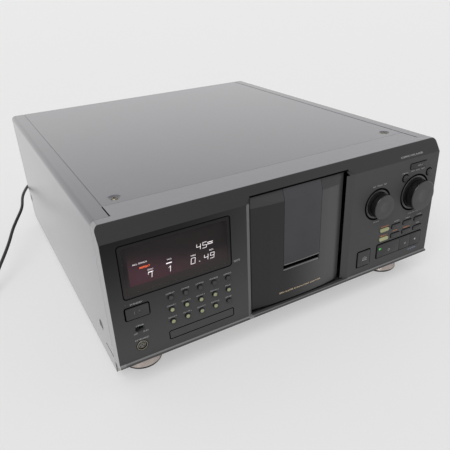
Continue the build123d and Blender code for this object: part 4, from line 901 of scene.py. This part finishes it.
stroke = [(-192.6, 91.8), (-192.6, 95.0)]
open_ring = ring_points(-187.6, 93.2, 1.7, radians(125), radians(290), 20)
stem = [(-187.6, 93.4), (-187.6, 95.4)]
power_mark = gather(*[drawn_line(points, 0.35, MARK_Y) for points in (stroke, open_ring, stem)])
finished("power_mark", power_mark, dim_ink, "power_button")
arrow = [(100.6, 56.1), (104.2, 59.0), (107.8, 56.1), (100.6, 56.1)]
foot_line = [(100.6, 54.2), (107.8, 54.2)]
open_mark = gather(drawn_line(arrow, 0.4, MARK_Y), drawn_line(foot_line, 0.6, MARK_Y))
finished("open_mark", open_mark, white_ink, "open_close_key")
arrow = [(144.2, 57.7), (144.2, 54.3), (147.8, 56.0), (144.2, 57.7)]
finished("play_mark", drawn_line(arrow, 0.4, MARK_Y), white_ink, "play_key")
pause_mark = gather(*[bar(x, x + 0.7, 55.6, 58.2, MARK_Y) for x in (172.5, 174.2)])
finished("pause_mark", pause_mark, white_ink, "pause_key")
finished("stop_mark", bar(190.5, 192.7, 56.8, 59.0, MARK_Y), white_ink, "stop_key")
lamp = mark([(128.0, 63.0), (128.0, 60.0), (132.4, 61.5)], LAMP_Y)
finished("play_lamp", lamp, lamp_green, "play_key")
words = [("INPUT", 178.0, 186.3, 162.6, 1.5)]
lettering("upper_key_words", words, white_ink, "upper_key", lambda x, z: KEY_FACE)
bead = turned([(0.0, 0.35), (0.4, 0.3), (0.65, 0.0), (0.65, -0.2)], (-199.9, 0, 104.1), TO_FRONT, 16)
finished("standby_lamp", bead, button_grey, "casing")

# ---- Display behind its smoked window ----
FIGURES_Y = 6.2
BAR_THICK = 0.54
BAR_LEAN = 0.12
BARS_OF_FIGURE = {
    "0": "abcdef",
    "1": "bc",
    "4": "bcfg",
    "5": "acdfg",
    "7": "abc",
    "9": "abcdfg",
}


def figure(text, x, z, width, height):
    """One seven-bar figure that leans to the right; x and z are its lower left corner."""
    edge = BAR_THICK / 2
    half = height / 2
    spans = {
        "a": (0, width, height - edge, height + edge),
        "g": (0, width, half - edge, half + edge),
        "d": (0, width, -edge, edge),
        "f": (-edge, edge, half, height),
        "e": (-edge, edge, 0, half),
        "b": (width - edge, width + edge, half, height),
        "c": (width - edge, width + edge, 0, half),
    }
    shapes = []
    for name in BARS_OF_FIGURE[text]:
        x0, x1, z0, z1 = spans[name]
        shift = x + BAR_LEAN * z0
        slant = BAR_LEAN * (z1 - z0)
        shapes.append(bar(x0 + shift, x1 + shift, z + z0, z + z1, FIGURES_Y, slant))
    return gather(*shapes)


shown = [
    figure("7", -172.2, 121.6, 3.8, 6.2),
    figure("1", -152.6, 121.4, 3.6, 6.4),
    drawn_line([(-150.2, 126.2), (-148.5, 127.6)], 0.5, FIGURES_Y),
    drawn_line([(-171.5, 127.6), (-171.7, 126.0)], 0.5, FIGURES_Y),
    figure("0", -126.5, 122.0, 4.4, 6.4),
    bar(-117.3, -116.5, 121.9, 122.7, FIGURES_Y),
    figure("4", -111.8, 121.6, 4.2, 6.2),
    figure("9", -104.8, 121.8, 4.2, 6.2),
    figure("4", -119.4, 135.8, 4.2, 6.2),
    figure("5", -112.6, 136.0, 4.2, 6.2),
    bar(-107.0, -100.7, 140.5, 141.3, FIGURES_Y),
    bar(-107.2, -100.9, 138.6, 139.4, FIGURES_Y),
    bar(-171.6, -166.4, 127.9, 128.6, FIGURES_Y),
    bar(-152.6, -146.6, 130.8, 132.0, FIGURES_Y),
]
finished("display_figures", gather(*shown), display_white, "casing")


def display_face(x, z):
    return FIGURES_Y + PRINT


words = [
    ("ALL DISCS", -186.4, -171.6, 140.7, 1.5),
    ("DISC", -171.8, -166.3, 130.9, 1.5),
    ("TRACK", -151.4, -146.4, 135.5, 1.4),
    ("MIN", -125.9, -120.8, 131.2, 1.6),
    ("SEC", -105.5, -100.6, 131.6, 1.5),
]
lettering("display_words", words, display_white, "casing", display_face)
words = [("REPEAT", -179.4, -168.9, 135.5, 2.0)]
lettering("display_words_orange", words, display_orange, "casing", display_face)
field = slab((-200.5, -84.0), (6.3, 6.45), (108.6, 167.4))
finished("display_field", field, tube_painted_glow(), "casing")

# ---- Rings round the dials, each between an outer and an inner groove of painted shade ----
RING_FOOT = -0.4
RING_TOP = 0.6
RING_SHOULDER = 0.35
RING_STEPS = 72
ring_grey = moulded("ring_grey", (0.045, 0.045, 0.046), 0.3)
for name, dial in DIALS.items():
    outer, inner = dial["ring"]
    section = [
        (outer, RING_FOOT),
        (outer, RING_SHOULDER),
        (outer - 0.35, RING_TOP),
        (inner + 0.35, RING_TOP),
        (inner, RING_SHOULDER),
        (inner, RING_FOOT),
        (outer, RING_FOOT),
    ]
    ring = turned(section, (dial["x"], 0.45, dial["z"]), TO_FRONT, RING_STEPS)
    finished(f"{name}_ring", ring, ring_grey, "casing")
    # Painted shade: flat black rings lie in each groove outside a ring and in the gap inside it.
    groove_shades = []
    for wide, narrow in ((outer + 2.35, outer), (inner, inner - 1.0)):
        place = (dial["x"], -PRINT, dial["z"])
        groove_shades.append(turned([(wide, 0.0), (narrow, 0.0)], place, TO_FRONT, RING_STEPS))
    finished(f"{name}_grooves", gather(*groove_shades), joint_and_shade_black, "casing")

# ---- Keyboard socket: six pin holes and a key slot inside a round shell ----
SOCKET_X = -189.2
SOCKET_Z = 51.6
PIN_CIRCLE = 2.7
PIN_ANGLES = (18, 62, 118, 162, 226, 314)
SHELL = [(5.0, 0.0), (5.0, 0.7), (5.1, 0.85), (5.45, 0.85), (5.6, 0.7), (5.6, 0.0), (5.0, 0.0)]
SOCKET_FACE = [(0.0, 0.0), (4.3, 0.0), (4.65, -0.35), (4.65, -3.0)]
PIN_HOLE = [(0.0, 0.04), (0.75, 0.04), (0.9, 0.0)]
shell = turned(SHELL, (SOCKET_X, 0.5, SOCKET_Z), TO_FRONT)
finished("socket_shell", shell, shell_gold, "casing")
socket_grey = moulded("socket_grey", (0.13, 0.125, 0.11), 0.5)
socket_face = turned(SOCKET_FACE, (SOCKET_X, 1.1, SOCKET_Z), TO_FRONT, 32)
finished("socket_face", socket_face, socket_grey, "casing")
holes = []
for degrees in PIN_ANGLES:
    x = SOCKET_X + PIN_CIRCLE * cos(radians(degrees))
    z = SOCKET_Z + PIN_CIRCLE * sin(radians(degrees))
    holes.append(turned(PIN_HOLE, (x, 1.08, z), TO_FRONT, 12))
slot_x = (SOCKET_X - 0.55, SOCKET_X + 0.55)
slot_z = (SOCKET_Z - 1.3, SOCKET_Z + 1.1)
holes.append(slab(slot_x, (1.04, 1.2), slot_z))
finished("socket_holes", gather(*holes), socket_black, "casing")

# ---- Cover screws: domed heads with a cross recess, each sunk in a dimple ----
SCREWS = (
    ((-179, 59, HEIGHT), (0, 0, 1)),
    ((179, 59, HEIGHT), (0, 0, 1)),
    ((-HALF_WIDTH, 54, 52), (-1, 0, 0)),
    ((-HALF_WIDTH, 454, 52), (-1, 0, 0)),
    ((HALF_WIDTH, 54, 52), (1, 0, 0)),
    ((HALF_WIDTH, 454, 52), (1, 0, 0)),
)
DIMPLE = 1.55
HEAD = [
    (0.0, 0.55),
    (1.25, 0.55),
    (1.45, 1.35),
    (2.3, 1.2),
    (3.1, 0.8),
    (3.55, 0.2),
    (3.6, 0.0),
    (0.0, 0.0),
]
RECESS_HEIGHT = 0.6
RECESS_ARM = 2.5
RECESS_WIDTH = 0.55
RECESS_DEPTH = 0.06
heads = []
for place, direction in SCREWS:
    outward = Vector(direction)
    seat = Vector(place) - DIMPLE * outward
    heads.append(turned(HEAD, seat, direction, 24))
    across = Vector((0, 1, 0))
    upward = outward.cross(across)
    for arm, other in ((across, upward), (upward, across)):
        cross = bmesh.new()
        bmesh.ops.create_cube(cross, size=1)
        size = arm * RECESS_ARM + other * RECESS_WIDTH + outward * RECESS_DEPTH
        bmesh.ops.scale(cross, vec=[abs(part) / 1000 for part in size], verts=cross.verts)
        middle = at(*(seat + RECESS_HEIGHT * outward))
        bmesh.ops.translate(cross, vec=middle, verts=cross.verts)
        heads.append(cross)
finished("cover_screw_heads", gather(*heads), screw_bronze, "casing", ["cover_screws"])

# ---- Rear: gold barrels of the line sockets ----
LINE_SOCKETS_X = (150, 168)
EXIT_Z = 62
BARREL = [
    (1.75, 0.0),
    (1.75, 7.6),
    (2.2, 8.0),
    (3.9, 8.0),
    (4.2, 7.6),
    (4.2, 2.2),
    (4.5, 2.0),
    (4.5, 0.3),
    (1.75, 0.3),
]
barrels = [turned(BARREL, (x, REAR, EXIT_Z), TO_REAR, 32) for x in LINE_SOCKETS_X]
finished("line_socket_barrels", gather(*barrels), gold_plate, "casing")

# ---- Mains lead ----
EXIT_X = -140
RELIEF_LENGTH = 22
ROUTE = [
    (-140, 488, 62),
    (-140, 510, 62),
    (-156, 527, 62),
    (-179, 527, 62),
    (-198, 513, 62),
    (-212, 493, 61.7),
    (-222, 470, 61.3),
    (-230, 446, 60.5),
    (-236, 412, 56.5),
    (-250, 384, 51),
    (-261, 363, 45),
    (-270, 339, 39),
    (-281, 317, 32),
    (-293, 297, 24),
    (-306, 276, 13),
    (-319, 252, 4.6),
    (-328, 222, 2.6),
]
CORD_DIAMETER = 4.5
CORD_END = Vector((-336, 196, 0))
AHEAD = (CORD_END - Vector((-328, 222, 0))).normalized()
LEFT = Vector((-AHEAD.y, AHEAD.x, 0))
OUTER_TURN = 31.75
COIL_MIDDLE = CORD_END - OUTER_TURN * LEFT
START_RADIUS = 33.0
INNER_RADIUS = 17.25
LOW_TURNS = 3.5
CLIMB_TURNS = 0.5
TURNS = 7.5
POINTS_A_TURN = 16
LOW_Z = 2.3


def coil_point(turn):
    """The lead winds inwards on the table, climbs by its own thickness, and winds out on top."""
    if turn < LOW_TURNS:
        radius = START_RADIUS - CORD_DIAMETER * turn
        height = LOW_Z
    elif turn < LOW_TURNS + CLIMB_TURNS:
        climb = (turn - LOW_TURNS) / CLIMB_TURNS
        radius = INNER_RADIUS - 0.5 * sin(pi * climb)
        height = LOW_Z + CORD_DIAMETER * climb
    else:
        radius = INNER_RADIUS + CORD_DIAMETER * (turn - LOW_TURNS - CLIMB_TURNS)
        height = LOW_Z + CORD_DIAMETER
    radius /= cos(pi / POINTS_A_TURN)
    angle = 2 * pi * turn
    flat = COIL_MIDDLE + radius * (LEFT * cos(angle) + AHEAD * sin(angle))
    return flat + Vector((0, 0, height))


line = [Vector(point) for point in ROUTE]
for step in range(int(TURNS * POINTS_A_TURN) + 1):
    line.append(coil_point(step / POINTS_A_TURN))
plug_tail = COIL_MIDDLE - OUTER_TURN * LEFT - 13.0 * AHEAD + Vector((0, 0, 6))
line += [plug_tail + 5 * AHEAD, plug_tail - 3 * AHEAD]
route = bpy.data.curves.new("mains_lead", "CURVE")
route.dimensions = "3D"
route.bevel_depth = CORD_DIAMETER / 2000
route.bevel_resolution = 3
route.use_fill_caps = True
spline = route.splines.new("NURBS")
spline.points.add(len(line) - 1)
for point, place in zip(spline.points, line):
    point.co = (*at(*place), 1)
spline.order_u = 3
spline.use_endpoint_u = True
spline.resolution_u = 6
route.materials.append(cord_jacket.material)
lead = bpy.data.objects.new("mains_lead", route)
scene.collection.objects.link(lead)
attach(lead, "casing")
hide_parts("power_cord", "cord_coil")

plug = eased("power_plug", 0.8, 3)

# The strain relief tapers from its collar in the rear panel, with a groove after each rib.
RIBS = 6
RIB_PITCH = 3.1
RIB_WIDTH = 1.7
GROOVE = 0.75
ROOT_RADIUS = 4.5
TAPER = 1.5
outline = [
    (0.0, -3.4),
    (4.4, -3.4),
    (4.4, -0.1),
    (7.2, -0.1),
    (7.5, 0.2),
    (7.5, 1.6),
    (7.2, 1.95),
    (5.0, 1.95),
]
for number in range(RIBS):
    start = 2.4 + number * RIB_PITCH
    radius = ROOT_RADIUS - TAPER * start / RELIEF_LENGTH
    outline += [(radius, start), (radius, start + RIB_WIDTH)]
    outline += [(radius - GROOVE, start + 1.9), (radius - GROOVE, start + 2.9)]
outline += [(3.1, 21.4), (2.9, 21.9), (0.0, 21.9)]
sleeve = turned(outline, (EXIT_X, REAR, EXIT_Z), TO_REAR, 32)
relief = finished("strain_relief", sleeve, cord_jacket, "casing", ["cord_strain_relief"])
at(-140, 488, 62)

# ---- Camera: fitted to the casing's corners and edges in the photograph ----
CAMERA_PLACE = (-295.976, -385.919, 381.629)
CAMERA_TURN = (
    (0.8706195, 0.2559484, -0.4201333),
    (-0.4902034, 0.3792987, -0.7847504),
    (-0.0414996, 0.8891698, 0.4556916),
)
camera_data = bpy.data.cameras.new("camera")
camera_data.sensor_width = 36.0
camera_data.lens = 39.806
camera_data.shift_y = 0.0011
camera_data.clip_end = 100
camera = bpy.data.objects.new("camera", camera_data)
scene.collection.objects.link(camera)
camera.matrix_world = Matrix.Translation(at(*CAMERA_PLACE)) @ Matrix(CAMERA_TURN).to_4x4()
scene.camera = camera


# ---- Table, light and surroundings ----
def seen_rays(tree):
    """1 for what the camera, a reflection or a clear pane sees, and 0 for the light itself."""
    rays = tree.nodes.new("ShaderNodeLightPath")
    found = rays.outputs["Is Camera Ray"]
    for kind in ("Is Glossy Ray", "Is Transmission Ray"):
        either = tree.nodes.new("ShaderNodeMath")
        either.operation = "MAXIMUM"
        tree.links.new(found, either.inputs[0])
        tree.links.new(rays.outputs[kind], either.inputs[1])
        found = either.outputs[0]
    return found


TABLE_REACH = 20
table_shape = bmesh.new()
bmesh.ops.create_grid(table_shape, x_segments=1, y_segments=1, size=TABLE_REACH)
table_mesh = bpy.data.meshes.new("table")
table_shape.to_mesh(table_mesh)
table_shape.free()
# The table glows where it is seen, so that it is pale there, and lights nothing by that glow.
table_finish = Finish("table_pale", Roughness=0.8, Specular_IOR_Level=0.2)
table_finish.set(Emission_Strength=1.0)
seen = Level(table_finish, seen_rays(table_finish.tree))
pale = table_finish.blend(table_finish.noise(3, 3), grey(229), grey(233))
table_finish.set(Base_Color=table_finish.blend(seen, pale, grey(175)))
table_finish.set(Emission_Color=table_finish.blend(seen, grey(0), grey(165)))
table_mesh.materials.append(table_finish.material)
table = bpy.data.objects.new("table", table_mesh)
scene.collection.objects.link(table)

# The surroundings are brighter where they are seen than in the light that they give.
WORLD_LIGHT = 0.55
WORLD_SEEN = 0.88
world = bpy.data.worlds.new("studio")
scene.world = world
world.use_nodes = True
tree = world.node_tree
strength = tree.nodes.new("ShaderNodeMapRange")
strength.inputs["To Min"].default_value = WORLD_LIGHT
strength.inputs["To Max"].default_value = WORLD_SEEN
tree.links.new(seen_rays(tree), strength.inputs["Value"])
tree.links.new(strength.outputs[0], tree.nodes["Background"].inputs["Strength"])
tree.nodes["Background"].inputs["Color"].default_value = (1, 1, 1, 1)

# One soft light from high at the front left.
LIGHT_FROM = Vector((-0.45, -0.5, 0.8))
light = bpy.data.lights.new("broad_light", "SUN")
light.energy = 1.7
light.angle = radians(45)
holder = bpy.data.objects.new("broad_light", light)
holder.rotation_euler = LIGHT_FROM.to_track_quat("Z", "Y").to_euler()
scene.collection.objects.link(holder)

scene.view_settings.view_transform = "Standard"
